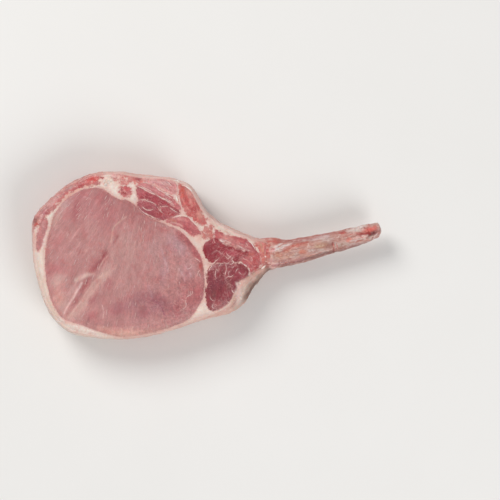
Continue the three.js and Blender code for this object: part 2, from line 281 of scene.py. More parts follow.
# Soft patches in the lean: colour, place, reach along and across, turn in degrees, strength.
LEAN_DABS = [
    (ROSE, (-70, 29), (15, 9), -10, 0.55),
    (rgb(176, 94, 98), (-76, 26), (2.2, 6.5), -12, 0.8),
    (rgb(178, 98, 102), (-72.5, 35.4), (3.6, 2.2), 30, 0.7),
    (rgb(176, 100, 102), (-60.5, 33.5), (5, 3.5), -30, 0.6),
    (rgb(172, 100, 102), (-57, 25), (8, 5), 60, 0.5),
    (rgb(168, 100, 100), (-45.5, 26.5), (5, 5), 0, 0.6),
    (rgb(172, 108, 108), (-37, 19), (10, 4), -35, 0.55),
    (ROSE, (-54, 19), (10, 8), 0, 0.35),
    (rgb(190, 116, 118), (-87.4, -8.4), (5, 3.4), 0, 0.7),
    (rgb(192, 120, 120), (-86, 9), (6, 4), 60, 0.5),
    (rgb(206, 162, 152), (-88, 21), (5, 2.6), 60, 0.6),
    (rgb(204, 160, 154), (-84.5, 28.6), (4, 2.4), 45, 0.6),
    (rgb(214, 172, 164), (-86.4, -17), (7, 4.6), 78, 0.8),
    (rgb(214, 162, 152), (-84.0, -28), (8, 4.4), -56, 0.8),
    (PALE_ROSE, (-72, -31), (6, 4), 50, 0.4),
    (rgb(210, 168, 160), (-59, -9.4), (6, 3.4), 50, 0.8),
    (rgb(206, 164, 156), (-72.2, -28.2), (3.4, 1.5), 75, 0.75),
    (rgb(178, 104, 108), (-66.8, -26), (3.2, 2.6), 40, 0.7),
    (rgb(180, 104, 108), (-57, -17), (2.6, 3.4), -20, 0.55),
    (rgb(178, 102, 106), (-67.6, -35), (4, 2.2), 30, 0.6),
    (rgb(172, 106, 112), (-52, -31), (6, 3.6), 15, 0.7),
    (rgb(196, 152, 146), (-50, 3), (13, 8), 62, 0.6),
    (rgb(192, 146, 142), (-46, -14), (13, 5), 70, 0.45),
    (rgb(190, 146, 144), (-31, 1), (12, 5), 80, 0.5),
    # The next three lavender patches on the eye's right side are painted sheen.
    (rgb(186, 146, 150), (-17.5, 6), (8, 4.5), -45, 0.75),
    (rgb(188, 148, 150), (-12, -9), (5, 6), 0, 0.6),
    (rgb(184, 140, 144), (-25, -9), (10, 2.6), 85, 0.5),
    (MAUVE, (-29, -27), (11, 5.5), -25, 0.75),
    (MAUVE, (-43, -27), (8, 4.5), 20, 0.55),
    (rgb(160, 98, 108), (-36, -33), (8, 3.5), 10, 0.45),
    (rgb(172, 106, 108), (-11.5, -21), (9, 11), 20, 0.45),
    (rgb(170, 90, 94), (-17.2, -31), (2.4, 4.4), 0, 0.75),
    (rgb(168, 104, 106), (-21, -32), (7, 6), 60, 0.4),
    (rgb(176, 96, 98), (-11, -25), (6, 5), 60, 0.6),
    (rgb(178, 92, 96), (-4.6, -22), (2.4, 8.0), -5, 0.65),
    (rgb(172, 88, 92), (-12.6, 9.2), (7, 2.2), -45, 0.8),
    (rgb(172, 88, 92), (-6.4, 0.6), (6, 2.0), -62, 0.85),
    (rgb(184, 84, 80), (-3.7, -6.6), (1.4, 3.0), 0, 0.8),
    (rgb(178, 96, 98), (-26, 15.4), (4.4, 1.6), -25, 0.6),
    (rgb(230, 176, 160), (-48, -46.0), (12, 3.0), 4, 0.85),
    (rgb(212, 154, 142), (-58, -43.6), (8, 2.6), -10, 0.7),
    (rgb(208, 150, 138), (-32, -44), (10, 2.0), 12, 0.6),
    (rgb(206, 160, 154), (-79, -34), (8, 4), -42, 0.6),
    (rgb(206, 82, 76), (-66.8, 44.4), (4.6, 2.3), 24, 0.95),
    (rgb(186, 72, 74), (-73.6, 40.9), (4.6, 1.6), 32, 0.9),
    (rgb(198, 108, 106), (-79.6, 37.2), (4.0, 1.3), 38, 0.8),
    (rgb(194, 104, 104), (-86.0, 31.6), (4.6, 1.5), 46, 0.8),
    (rgb(196, 144, 144), (-84.2, 39.6), (8.0, 2.2), 40, 0.85),
    (rgb(196, 148, 146), (-93.6, 31.2), (6.0, 2.2), 44, 0.8),
    (rgb(214, 158, 152), (-73.4, 46.0), (5.0, 1.5), 28, 0.7),
    (rgb(230, 196, 188), (-55.6, 46.8), (3.6, 1.6), 0, 0.8),
    (rgb(174, 84, 88), (-97.6, 24.4), (2.6, 1.8), 50, 0.75),
    (rgb(204, 120, 106), (-82, 34.2), (3.0, 1.1), 40, 0.7),
    (rgb(206, 150, 146), (-88.5, 32.6), (5, 1.8), 42, 0.75),
    (rgb(150, 80, 82), (-82.3, 39.2), (1.2, 1.2), 0, 0.8),
    (rgb(176, 150, 146), (-80.0, 40.4), (3.0, 1.6), 35, 0.7),
    (rgb(178, 96, 104), (-94.6, 24.6), (2.6, 1.6), 60, 0.7),
    (BLOOD, (-100.6, 21.6), (3.0, 1.4), 75, 0.95),
    (rgb(190, 84, 74), (-99.4, 17.6), (2.4, 1.8), 40, 0.85),
    (rgb(216, 164, 148), (-98.4, 20.6), (1.4, 1.2), 0, 0.7),
    (rgb(204, 184, 176), (-91.4, 34), (5.5, 1.2), 42, 0.8),
    (rgb(214, 176, 168), (-96.5, 22.5), (2.2, 1.0), 40, 0.5),
    (CRIMSON, (-40.1, 44.0), (1.7, 1.2), 0, 0.9),
    (rgb(168, 70, 80), (-31, 32.2), (7, 1.8), -32, 0.75),
    (rgb(166, 66, 78), (-24.0, 29.9), (3.4, 1.2), -36, 0.7),
    (rgb(166, 66, 72), (-27.6, 24.6), (2.4, 1.6), -10, 0.85),
    (rgb(176, 84, 90), (-36.8, 30.4), (4, 1.1), -14, 0.7),
    (rgb(172, 66, 70), (-20.8, 23.6), (2.6, 1.0), -30, 0.75),
    (rgb(206, 148, 146), (-36.0, 40.4), (4.0, 1.2), -10, 0.5),
    (rgb(188, 88, 94), (-21.5, 33), (3.4, 1.2), -36, 0.6),
    (rgb(192, 102, 108), (-39.0, 36.4), (3.0, 2.4), 0, 0.7),
    (rgb(228, 184, 180), (-34.6, 44.8), (2.4, 1.2), 10, 0.7),
    (rgb(224, 178, 174), (-23.8, 42.4), (2.8, 1.2), -30, 0.7),
    (rgb(180, 78, 86), (-12.6, 16.3), (3.2, 1.4), -35, 0.75),
    (rgb(204, 122, 102), (-19.6, 20.2), (2.2, 0.9), -10, 0.75),
    (rgb(214, 150, 146), (-14.4, 21.0), (3.0, 0.9), -8, 0.7),
    (rgb(210, 98, 84), (-14.4, 37.6), (4.4, 1.2), 105, 0.9),
    (rgb(186, 84, 84), (-11.0, 30.2), (4, 1.8), 112, 0.75),
    (rgb(182, 78, 80), (-7.2, 27.0), (3.4, 1.8), 112, 0.75),
    (rgb(218, 160, 150), (-9.6, 36.2), (3.4, 1.3), 125, 0.8),
    (rgb(216, 150, 140), (-9.8, 30.8), (1.3, 0.8), 100, 0.8),
    (rgb(214, 150, 136), (-4.2, 23.6), (2.6, 1.8), 110, 0.8),
    (rgb(138, 36, 50), (2.8, 2.6), (4, 4), 0, 0.85),
    (rgb(176, 76, 88), (14, 1.6), (4.6, 2.0), -10, 0.7),
    (rgb(150, 70, 76), (9, -1.8), (5, 2.0), 0, 0.4),
    (rgb(214, 150, 142), (11.4, 10.2), (5.4, 1.9), -20, 0.85),
    (rgb(190, 86, 92), (22.4, 7.2), (3.4, 1.8), -30, 0.75),
    (rgb(176, 112, 108), (19.6, -2.7), (1.2, 1.8), 0, 0.7),
    (rgb(190, 84, 82), (27.2, -3.4), (3.6, 2.4), 70, 0.7),
    (rgb(200, 108, 98), (25.4, 0.4), (2.4, 1.4), 40, 0.7),
    (rgb(132, 60, 70), (5.4, -17), (4.4, 6.5), 80, 0.85),
    (rgb(122, 76, 74), (4.2, -22.5), (1.6, 2.6), 0, 0.6),
    (rgb(134, 86, 82), (12.4, -17.0), (1.4, 3.0), -10, 0.65),
    (rgb(166, 98, 98), (6.5, -29.6), (6, 3.0), 0, 0.75),
    (rgb(166, 70, 82), (19.4, -10.6), (3.8, 2.4), -10, 0.6),
    (rgb(160, 74, 82), (11, -8.4), (4, 1.6), 0, 0.5),
]

# Soft stripes in the lean: colour, half width, strength, and the points they run through.
LEAN_BANDS = [
    (rgb(208, 166, 160), 2.2, 0.55, [(-77.4, -19.0), (-80.2, -24.4), (-83.4, -29.6)]),
    (rgb(212, 168, 158), 2.0, 0.7,
     [(-58.6, -11.2), (-63.8, -16.6), (-68.2, -22.8), (-71.9, -28.4), (-76.6, -33.2), (-80.0, -36.0)]),
    (rgb(164, 94, 94), 1.5, 0.8, [(-68.3, -12.8), (-70.4, -16.2), (-72.6, -19.9)]),
    (rgb(178, 108, 108), 1.5, 0.35, [(-73.4, -21.3), (-77.2, -27.7), (-81.2, -34.4)]),
    (rgb(226, 190, 184), 0.6, 0.95,
     [(-72.7, -16.1), (-75.3, -20.2), (-78.5, -25.8), (-81.1, -30.3), (-83.0, -33.2)]),
    (rgb(220, 180, 168), 0.5, 0.7,
     [(-60.4, -10.6), (-66.2, -16.0), (-70.6, -22.2), (-74.4, -28.0), (-79.4, -34.6)]),
    (rgb(222, 190, 180), 1.3, 0.85, [(-66.5, -10.4), (-70.9, -11.8), (-76.0, -14.4)]),
    (rgb(164, 90, 92), 1.9, 0.85, [(-58.8, 1.6), (-61.0, -2.0), (-63.8, -6.0), (-66.8, -9.2)]),
    (rgb(214, 168, 160), 0.45, 0.8, [(-58.2, -0.4), (-61.3, -4.7), (-62.8, -7.9)]),
    (rgb(208, 164, 152), 0.5, 0.8,
     [(-55.7, 8.2), (-54.9, 12.6), (-54.0, 16.2), (-50.6, 19.6), (-46.8, 22.4)]),
    (rgb(164, 92, 92), 0.7, 0.8, [(-52.0, 11.2), (-52.8, 9.2), (-54.0, 7.4)]),
    (rgb(164, 82, 86), 0.6, 0.7, [(-58.8, 1.4), (-60.4, -0.6)]),
    (rgb(208, 150, 150), 0.4, 0.6, [(-63.2, 32.5), (-66.0, 28.2), (-68.2, 24.6), (-68.6, 21.6)]),
    (rgb(206, 148, 148), 0.4, 0.5, [(-58.2, 32.4), (-60.0, 29.4), (-61.8, 26.2)]),
    (rgb(208, 156, 154), 0.4, 0.55, [(-71.6, 34), (-69.5, 33.6), (-67.3, 32.6)]),
    (rgb(210, 156, 150), 0.5, 0.65, [(-74.2, 15.6), (-77, 11.6), (-79.4, 8.2)]),
    (rgb(210, 156, 150), 0.5, 0.65, [(-74.0, 7.6), (-76.8, 3.4), (-79.2, 0.6)]),
    (rgb(208, 156, 152), 0.45, 0.6, [(-85.2, 13.8), (-87.2, 10.8)]),
    (rgb(210, 158, 152), 0.5, 0.65, [(-79, -7.3), (-81.3, -11.4), (-84.6, -14.3)]),
    (rgb(210, 160, 156), 0.4, 0.55, [(-79.6, -21.2), (-81.8, -23.4)]),
    (rgb(206, 154, 150), 0.45, 0.5, [(-60.5, -17), (-62.2, -21.6), (-64.4, -26)]),
    (rgb(206, 156, 152), 0.4, 0.6, [(-53.7, -23.4), (-55.6, -26.6)]),
    (rgb(210, 160, 156), 0.35, 0.6, [(-60.9, -28.6), (-60.1, -32.5), (-60.5, -36.4)]),
    (rgb(202, 150, 146), 0.6, 0.5, [(-63.5, 20), (-66, 14.6), (-69.5, 9.0)]),
    (rgb(202, 152, 146), 0.6, 0.5, [(-49.4, 14), (-50.6, 8), (-53.4, 2)]),
    (rgb(202, 154, 148), 0.8, 0.5, [(-42, 8), (-43.4, 0), (-46.6, -8.5)]),
    (rgb(204, 156, 150), 0.5, 0.5, [(-37.5, 13.2), (-38.6, 8.4), (-40.4, 3)]),
    (rgb(200, 154, 150), 0.5, 0.5, [(-36, -5), (-37.6, -11), (-40.6, -17.4)]),
    # Pale lavender streak on the eye's right side: painted sheen.
    (rgb(196, 156, 158), 0.6, 0.6, [(-27, 6), (-25.6, 1), (-23.8, -5), (-22.6, -9)]),
    (rgb(206, 156, 150), 0.35, 0.6, [(-16.8, -5.4), (-17.0, -10.6), (-17.8, -16.4)]),
    (rgb(200, 154, 152), 0.5, 0.5, [(-21.2, 12.4), (-20.4, 6.0), (-20.2, -1.0)]),
    (rgb(204, 160, 158), 0.5, 0.5, [(-30.2, 15.0), (-30.6, 9.6), (-31.8, 4.6)]),
    # The next two pale lavender streaks on the eye's right side are painted sheen.
    (rgb(208, 172, 176), 0.45, 0.55, [(-13.0, -5.6), (-10.6, -8.4), (-9.4, -12.0)]),
    (rgb(206, 168, 172), 0.4, 0.5, [(-16.6, -8.0), (-14.0, -11.6), (-12.8, -15.4)]),
    (rgb(150, 84, 100), 0.5, 0.7, [(-31.4, -25.6), (-28.4, -27.6), (-26.2, -30.6), (-24.6, -34.4)]),
    (rgb(190, 142, 146), 0.7, 0.5, [(-34.2, -17), (-32.6, -21.6), (-31.8, -25)]),
    (rgb(206, 150, 146), 0.4, 0.5, [(-44.6, -33), (-46.6, -38), (-47.6, -43)]),
    (rgb(214, 168, 152), 0.5, 0.6, [(-43.2, -41.4), (-43.8, -44.8), (-43.4, -46.8)]),
    (rgb(222, 182, 164), 0.5, 0.7, [(-49.6, -42.6), (-49.8, -45), (-49.4, -47)]),
    (rgb(206, 144, 138), 0.5, 0.5, [(-26, -37), (-27.6, -40.6), (-28.6, -43.6)]),
    (rgb(196, 130, 130), 0.5, 0.5, [(-9.2, -27), (-10.6, -31.4), (-13.4, -35.4)]),
    (rgb(214, 166, 156), 1.2, 0.6, [(-3.8, -30.4), (-7.4, -35.4), (-12.6, -39.4)]),
    (rgb(216, 152, 142), 0.45, 0.7, [(-12.6, 39.0), (-11.2, 35.4), (-9.4, 32.0), (-8.6, 28.6)]),
    (rgb(214, 148, 138), 0.35, 0.6, [(-14.4, 33.2), (-13.0, 29.8), (-10.6, 26.4)]),
    (rgb(226, 174, 166), 0.6, 0.8, [(-21.2, 19.0), (-18.4, 18.7), (-15.8, 17.8), (-14.4, 16.6)]),
    (rgb(212, 146, 138), 0.35, 0.6, [(-7.4, 32.0), (-6.2, 28.2), (-4.6, 24.6)]),
    (rgb(220, 150, 144), 0.32, 0.8, [(-51.0, 36.4), (-49.2, 37.0), (-47.4, 37.2)]),
    (rgb(220, 150, 144), 0.28, 0.8, [(-48.8, 39.4), (-48.2, 38.0), (-47.4, 37.0)]),
    (rgb(150, 52, 56), 0.5, 0.7, [(-49.8, 38.4), (-48.6, 36.4), (-46.6, 35.6)]),
    (rgb(218, 170, 172), 0.5, 0.6, [(-33.0, 42.6), (-28.4, 42.2), (-24.2, 39.2), (-20.6, 36.6)]),
    (rgb(190, 108, 110), 0.7, 0.6, [(-30.4, 42.2), (-25.6, 40.6), (-21.4, 38.0), (-18.8, 36.8)]),
    (rgb(186, 92, 98), 0.6, 0.6, [(-28.0, 44.6), (-23.8, 43.4), (-20.0, 40.6)]),
    (rgb(214, 160, 162), 0.4, 0.6, [(-34.4, 39.4), (-29.6, 37.4), (-25.0, 34.8), (-21.4, 32.8)]),
    (rgb(214, 160, 154), 1.0, 0.85, [(8.2, 8.8), (11.6, 7.6), (15.0, 6.3), (18.4, 4.8), (21.6, 3.3)]),
    (rgb(176, 120, 118), 0.45, 0.7, [(9.4, 7.9), (12.4, 6.7), (16.0, 5.3), (19.6, 3.9)]),
    (rgb(208, 150, 146), 0.5, 0.6, [(12.0, 9.4), (16.4, 7.6), (21.0, 6.0), (25.6, 4.6)]),
    (rgb(206, 144, 140), 0.4, 0.6, [(10.4, 11.2), (15.0, 9.2), (20.0, 8.4)]),
    (rgb(202, 128, 126), 0.5, 0.5, [(14.6, 2.8), (19.0, 1.0), (24.0, -1.4), (28.0, -5.0)]),
    (rgb(208, 136, 128), 0.4, 0.6, [(23.0, -2.6), (25.6, -5.0), (27.4, -8.0)]),
]

# Patches of fat that isn't plain cream, given as the patches in the lean are.
FAT_DABS = [
    (WHITE_FAT, (-76, -41.6), (13, 3), -18, 0.85),
    (rgb(228, 222, 210), (-90.6, 23.4), (5.5, 2.0), 62, 0.95),
    (rgb(232, 218, 211), (-94.6, 8), (5, 1.4), 76, 0.9),
    (WHITE_FAT, (-96, -3), (7, 1.4), 86, 0.8),
    # Tan line just inside the left rim: painted shade of the rounded rim.
    (rgb(206, 176, 144), (-97.6, -13.5), (5, 0.9), -80, 0.7),
    (rgb(226, 196, 178), (-91.6, -29.5), (9, 2.4), -58, 0.7),
    (rgb(222, 168, 150), (-79, 35.8), (8, 1.6), 36, 0.9),
    (rgb(224, 178, 160), (-70, 40.4), (6, 1.2), 25, 0.85),
    (WHITE_FAT, (-55, 39.4), (8, 2.6), -20, 0.85),
    (WHITE_FAT, (-54.5, 46.2), (4.6, 1.2), -6, 0.85),
    (rgb(224, 176, 168), (-60, 43.6), (3, 2.4), 0, 0.6),
    (WHITE_FAT, (-42.4, 35.6), (5, 1.6), 100, 0.9),
    (WHITE_FAT, (-18.0, 32.4), (3, 1.4), 118, 0.9),
    (PINK_FAT, (-50, 49), (16, 1.6), 0, 0.7),
    (PINK_FAT, (-28, 42), (8, 5), -30, 0.6),
    (rgb(216, 166, 160), (-28, 26), (14, 5), -30, 0.8),
    (rgb(212, 160, 152), (-20.5, 22.4), (5, 2.0), -10, 0.8),
    (rgb(174, 98, 96), (-34, 24.2), (8, 1.8), -32, 0.95),
    (rgb(222, 178, 166), (-13.5, 20.5), (8, 2), -30, 0.6),
    (rgb(224, 178, 166), (-5.0, 10.4), (5, 3), -55, 0.9),
    (rgb(206, 150, 142), (2.6, -4.4), (3.4, 2.2), -20, 0.8),
    (rgb(208, 172, 164), (-84, 37.6), (18, 4.5), 40, 0.85),
    (rgb(222, 176, 166), (-15.4, 28), (9, 1.2), 106, 0.6),
    (rgb(226, 196, 180), (-1.8, 1.5), (2.4, 5), 0, 0.7),
    (PINK_FAT, (1.4, 15), (3, 4), 0, 0.5),
    (rgb(214, 206, 190), (8.6, 15.6), (6, 1.4), -28, 0.8),
    (rgb(226, 190, 180), (20, 12.4), (8, 1.0), -20, 0.7),
    (rgb(226, 172, 160), (27.6, 8.6), (4, 1.6), -36, 0.75),
    (rgb(214, 160, 154), (11, -4.8), (9, 1.0), 0, 0.6),
    (rgb(200, 128, 122), (17, 4.8), (9, 1.3), -14, 0.85),
    (rgb(236, 214, 206), (-6.4, 36.6), (8, 1.0), 116, 0.8),
    (rgb(222, 186, 176), (0.5, -34.5), (9, 3), 12, 0.5),
    (rgb(232, 210, 202), (4.4, -34.4), (3, 1.2), 6, 0.7),
]

# The belly end, where the wall leans out: cream fat and lobes at the brim, greyer layers below. The dark
# brown-grey bands are painted shade on the slope turned from the light and along the outer silhouette.
FLANK_BANDS_AND_SHADE = [
    (rgb(122, 88, 76), 4.2, 1.0, [(36.0, -10.0), (30.4, -15.2), (26.0, -20.0), (22.2, -26.4)]),
    (rgb(206, 172, 152), 1.5, 0.9,
     [(32.4, -8.6), (28.2, -10.9), (24.0, -13.9), (20.4, -18.2), (19.6, -23.0)]),
    (rgb(100, 72, 64), 1.1, 0.9, [(35.4, -10.0), (31.6, -13.2), (28.2, -16.6), (25.2, -20.6)]),
    (rgb(78, 56, 50), 0.9, 0.85, [(26.2, -20.2), (24.6, -22.2), (23.2, -24.6)]),
    (rgb(166, 134, 118), 0.5, 0.7, [(33.4, -10.6), (29.8, -13.6), (26.2, -17.2), (23.6, -20.8)]),
    (rgb(194, 166, 150), 1.3, 0.8, [(22.0, -26.4), (19.4, -28.8), (15.6, -30.8)]),
    (rgb(100, 72, 66), 0.8, 0.8,
     [(37.6, -9.8), (34.4, -13.4), (30.4, -17.6), (27.0, -22.0), (22.6, -28.0)]),
]
FLANK_DABS = [
    (rgb(232, 208, 200), (18.6, -22.8), (2.3, 4.8), -6, 1.0),
    (rgb(232, 208, 200), (17.9, -16.6), (1.1, 1.6), 0, 0.95),
    (rgb(236, 216, 206), (24.5, -10.6), (0.9, 0.8), 0, 0.9),
    (rgb(226, 192, 176), (20.6, -15.4), (2.2, 1.4), 40, 0.7),
    (rgb(214, 150, 140), (28.6, -9.6), (2.6, 0.8), -35, 0.7),
]
# Blood at the outer corner of the chine, near the upper face.
CORNER_BLOOD = (BLOOD, (-101.2, 21.8), (2.2, 3.4), 10, 0.9)

# Patches on the neck of meat and on the rib, given as the patches in the lean are.
RIB_DABS = [
    (rgb(204, 92, 80), (33.6, 8.6), (4.4, 0.8), -8, 0.95),
    (rgb(196, 96, 96), (30.8, 0.2), (1.8, 2.2), 20, 0.8),
    (rgb(182, 84, 84), (28.8, -5.8), (2.2, 3.4), -12, 0.85),
    (rgb(216, 130, 118), (30.4, -9.4), (3.6, 1.0), 35, 0.9),
    (rgb(226, 138, 126), (32.6, 4.4), (1.2, 3.4), 5, 0.8),
    (rgb(188, 92, 86), (36.8, 1.2), (2.2, 0.8), -10, 0.8),
    (rgb(226, 178, 160), (37.2, 6.6), (1.8, 0.8), -10, 0.8),
    (rgb(214, 96, 84), (39.6, 8.4), (3.4, 0.8), -3, 0.85),
    (rgb(206, 134, 108), (41.6, -0.2), (2.4, 1.5), 5, 0.85),
    (rgb(206, 166, 156), (38.4, -2.6), (4, 1.4), 0, 0.7),
    (rgb(204, 144, 148), (42.6, -4.9), (6, 0.8), 12, 0.85),
    (rgb(222, 112, 92), (51.8, 5.6), (3.2, 1.0), 14, 0.85),
    (rgb(206, 134, 104), (47.2, 2.4), (2.6, 0.8), 25, 0.7),
    (rgb(196, 174, 166), (51.4, 0.0), (2.6, 1.4), 10, 0.75),
    (rgb(196, 110, 100), (52.0, -3.2), (4.6, 0.9), 12, 0.8),
    (rgb(212, 116, 88), (55.6, 2.2), (2.8, 1.7), 10, 0.8),
    (rgb(198, 164, 132), (66.2, 5.6), (4.6, 1.7), 10, 0.75),
    (rgb(124, 70, 58), (78.2, 6.0), (1.0, 0.9), 20, 0.8),
    (rgb(206, 134, 118), (57, 6.4), (4, 0.8), 6, 0.7),
    (rgb(232, 220, 208), (67.0, 3.2), (1.3, 0.9), 20, 0.85),
    (rgb(228, 174, 146), (59.0, -0.6), (2.4, 0.8), 16, 0.8),
    (rgb(168, 88, 90), (53.0, -3.0), (4.6, 0.6), 14, 0.75),
    (rgb(172, 92, 82), (59, 11.0), (10, 0.8), 9, 0.85),
    (rgb(186, 156, 148), (66, 2.4), (5, 1.4), 12, 0.6),
    (rgb(166, 88, 78), (73.0, 7.2), (2.2, 0.9), 60, 0.7),
    (rgb(196, 160, 144), (78, 5.6), (3.2, 2.2), 30, 0.7),
    (rgb(240, 222, 216), (87.6, 15.6), (7.0, 1.5), 13, 0.95),
    (rgb(206, 92, 82), (79.8, 13.0), (1.6, 1.0), 20, 0.85),
    (rgb(226, 108, 96), (94.8, 15.4), (4.4, 2.0), 20, 0.95),
    (rgb(236, 186, 178), (99.4, 16.6), (1.0, 2.8), 0, 0.8),
    (rgb(100, 4, 8), (96.0, 12.8), (4.0, 1.6), 24, 1.0),
    (rgb(160, 36, 36), (92.8, 12.6), (2.2, 0.7), 10, 0.85),
    (rgb(214, 190, 176), (96.0, 10.9), (1.8, 1.2), 30, 0.95),
    (rgb(238, 204, 196), (98.6, 11.6), (2.6, 0.7), 50, 0.85),
    # Painted highlight on a bump near the tip.
    (rgb(244, 206, 196), (89.6, 10.6), (2.6, 1.1), 10, 0.85),
    (rgb(186, 104, 82), (89.4, 8.2), (3.0, 0.7), 12, 0.8),
    (rgb(234, 138, 122), (82.4, 8.8), (1.6, 1.7), -30, 0.85),
    (rgb(220, 178, 170), (88, 6.6), (7, 0.9), 15, 0.7),
    # Painted shade: a dark brown line along the rib's lower edge.
    (rgb(128, 84, 76), (70, 1.2), (8, 1.1), 14, 0.75),
    (rgb(146, 92, 82), (71, 6.2), (3.2, 1.8), 20, 0.6),
    (rgb(184, 98, 86), (87.4, 8.8), (2.4, 1.0), 14, 0.55),
    # Painted shade: a dark brown line along the rib's lower edge.
    (rgb(120, 74, 68), (57, -2.6), (9, 0.8), 12, 0.6),
]
# Larger patches with a clear edge: tone, strength and outline.
RIB_PATCHES = [
    (rgb(234, 214, 208), 0.95,
     [(37.8, 3.4), (39.6, 5.8), (43.0, 7.4), (47.0, 8.0), (50.4, 8.2),
      (49.0, 6.6), (46.4, 4.8), (43.4, 3.0), (40.4, 2.2)]),
    (rgb(174, 50, 60), 0.85,
     [(33.1, 5.2), (34.0, 5.6), (34.7, 3.6), (34.5, 1.2), (33.6, 0.8), (33.4, 3.0)]),
    (rgb(182, 46, 66), 0.85,
     [(35.6, 4.4), (37.0, 5.0), (39.5, 4.4), (39.3, 3.2), (37.4, 3.4), (35.8, 3.7)]),
    (rgb(190, 92, 78), 0.7,
     [(42.6, 1.6), (46.0, 3.8), (50.0, 6.2), (54.0, 7.4), (59.6, 8.6),
      (59.0, 7.6), (54.0, 6.0), (50.4, 4.8), (46.6, 2.4)]),
    (rgb(218, 192, 190), 0.85,
     [(50.4, 9.2), (56.0, 10.2), (63.0, 11.6), (70.0, 13.0),
      (71.0, 10.6), (65.0, 9.0), (58.0, 8.8), (53.0, 8.2)]),
    (rgb(144, 62, 54), 0.9,
     [(72.6, 6.8), (73.4, 4.4), (73.2, 2.0), (74.2, 1.8), (74.6, 4.2), (74.4, 6.4), (73.6, 7.6)]),
    (rgb(158, 36, 36), 0.9,
     [(86.4, 12.2), (88.6, 13.4), (91.4, 13.2), (94.0, 13.6), (92.6, 12.4), (89.6, 11.8)]),
    # The next two pale pink patches on the bumps near the tip are painted highlights.
    (rgb(244, 204, 194), 0.8, [(84.6, 9.6), (86.4, 11.0), (88.6, 11.4), (88.4, 10.2), (86.4, 9.2)]),
    (rgb(244, 208, 198), 0.8, [(89.6, 9.8), (91.0, 11.2), (93.0, 11.6), (92.8, 10.4), (91.2, 9.6)]),
    (rgb(196, 76, 68), 0.85, [(76.4, 12.8), (78.4, 14.4), (80.4, 14.4), (79.4, 12.8), (77.8, 12.0)]),
    (rgb(208, 158, 156), 0.7,
     [(40.0, -5.2), (46.0, -4.2), (52.0, -2.6), (58.0, -0.6), (57.0, -2.0), (50.0, -4.0), (44.0, -5.8)]),
    (rgb(216, 170, 150), 0.7,
     [(40.0, -1.6), (44.0, -0.6), (48.6, 0.8), (51.0, 0.6), (48.0, -1.4), (43.0, -2.8)]),
]
RIB_BANDS = [
    (rgb(228, 176, 164), 0.8, 0.85, [(22.6, 10.5), (27, 9.4), (30.0, 7.6), (31.4, 6.0)]),
    (rgb(194, 138, 114), 0.55, 0.85, [(31.0, 6.6), (31.8, 4.4), (32.5, 2.6)]),
    (rgb(222, 160, 148), 0.35, 0.8, [(32.8, 6.2), (33.4, 3.0), (34.4, -0.6)]),
    (rgb(240, 150, 152), 0.55, 0.9, [(34.9, 2.6), (36.4, 2.3), (38.6, 2.6)]),
    (rgb(242, 190, 184), 0.3, 0.85, [(34.6, 4.8), (35.8, 4.1), (37.4, 4.0)]),
    (rgb(170, 90, 94), 0.35, 0.75, [(36.4, -5.6), (39.0, -6.2), (42.0, -5.9)]),
    (rgb(238, 200, 192), 0.3, 0.85, [(35.6, -4.2), (38.2, -4.6), (41.4, -4.4)]),
    (rgb(168, 88, 92), 0.3, 0.7, [(35.8, -2.6), (38.0, -3.2), (40.6, -3.0)]),
    (rgb(238, 202, 196), 0.3, 0.75, [(36.4, -6.9), (38.6, -7.4), (41.0, -7.0)]),
    (rgb(214, 166, 156), 0.4, 0.7, [(41.6, -4.2), (45.6, -4.0), (49.6, -2.4), (53.0, -2.2)]),
    (rgb(160, 84, 84), 0.35, 0.6, [(44.0, -4.9), (48.0, -4.2), (52.4, -4.0)]),
    (rgb(222, 196, 186), 0.35, 0.7, [(60.4, 0.2), (64.6, 1.6), (68.4, 3.0), (70.6, 2.6)]),
    (rgb(160, 94, 84), 0.4, 0.6, [(62, 3.6), (65.4, 4.4), (69.6, 4.8)]),
    (rgb(230, 206, 198), 0.4, 0.8, [(83.0, 8.2), (86.0, 8.6), (89.2, 9.4), (92.0, 9.2)]),
    (rgb(206, 148, 138), 0.5, 0.5, [(76, 11.6), (80, 11.4), (84, 12.8)]),
    (rgb(164, 74, 68), 0.35, 0.6, [(47.0, 9.0), (52.0, 8.6), (57.0, 9.6), (62.0, 11.2)]),
]

# ---- The wall of the meat, by stretches round the chop ---------------------------------------
# fat: 1 is all fat, 0 half lean, below 0 mostly lean. rough: height of the small lumps.

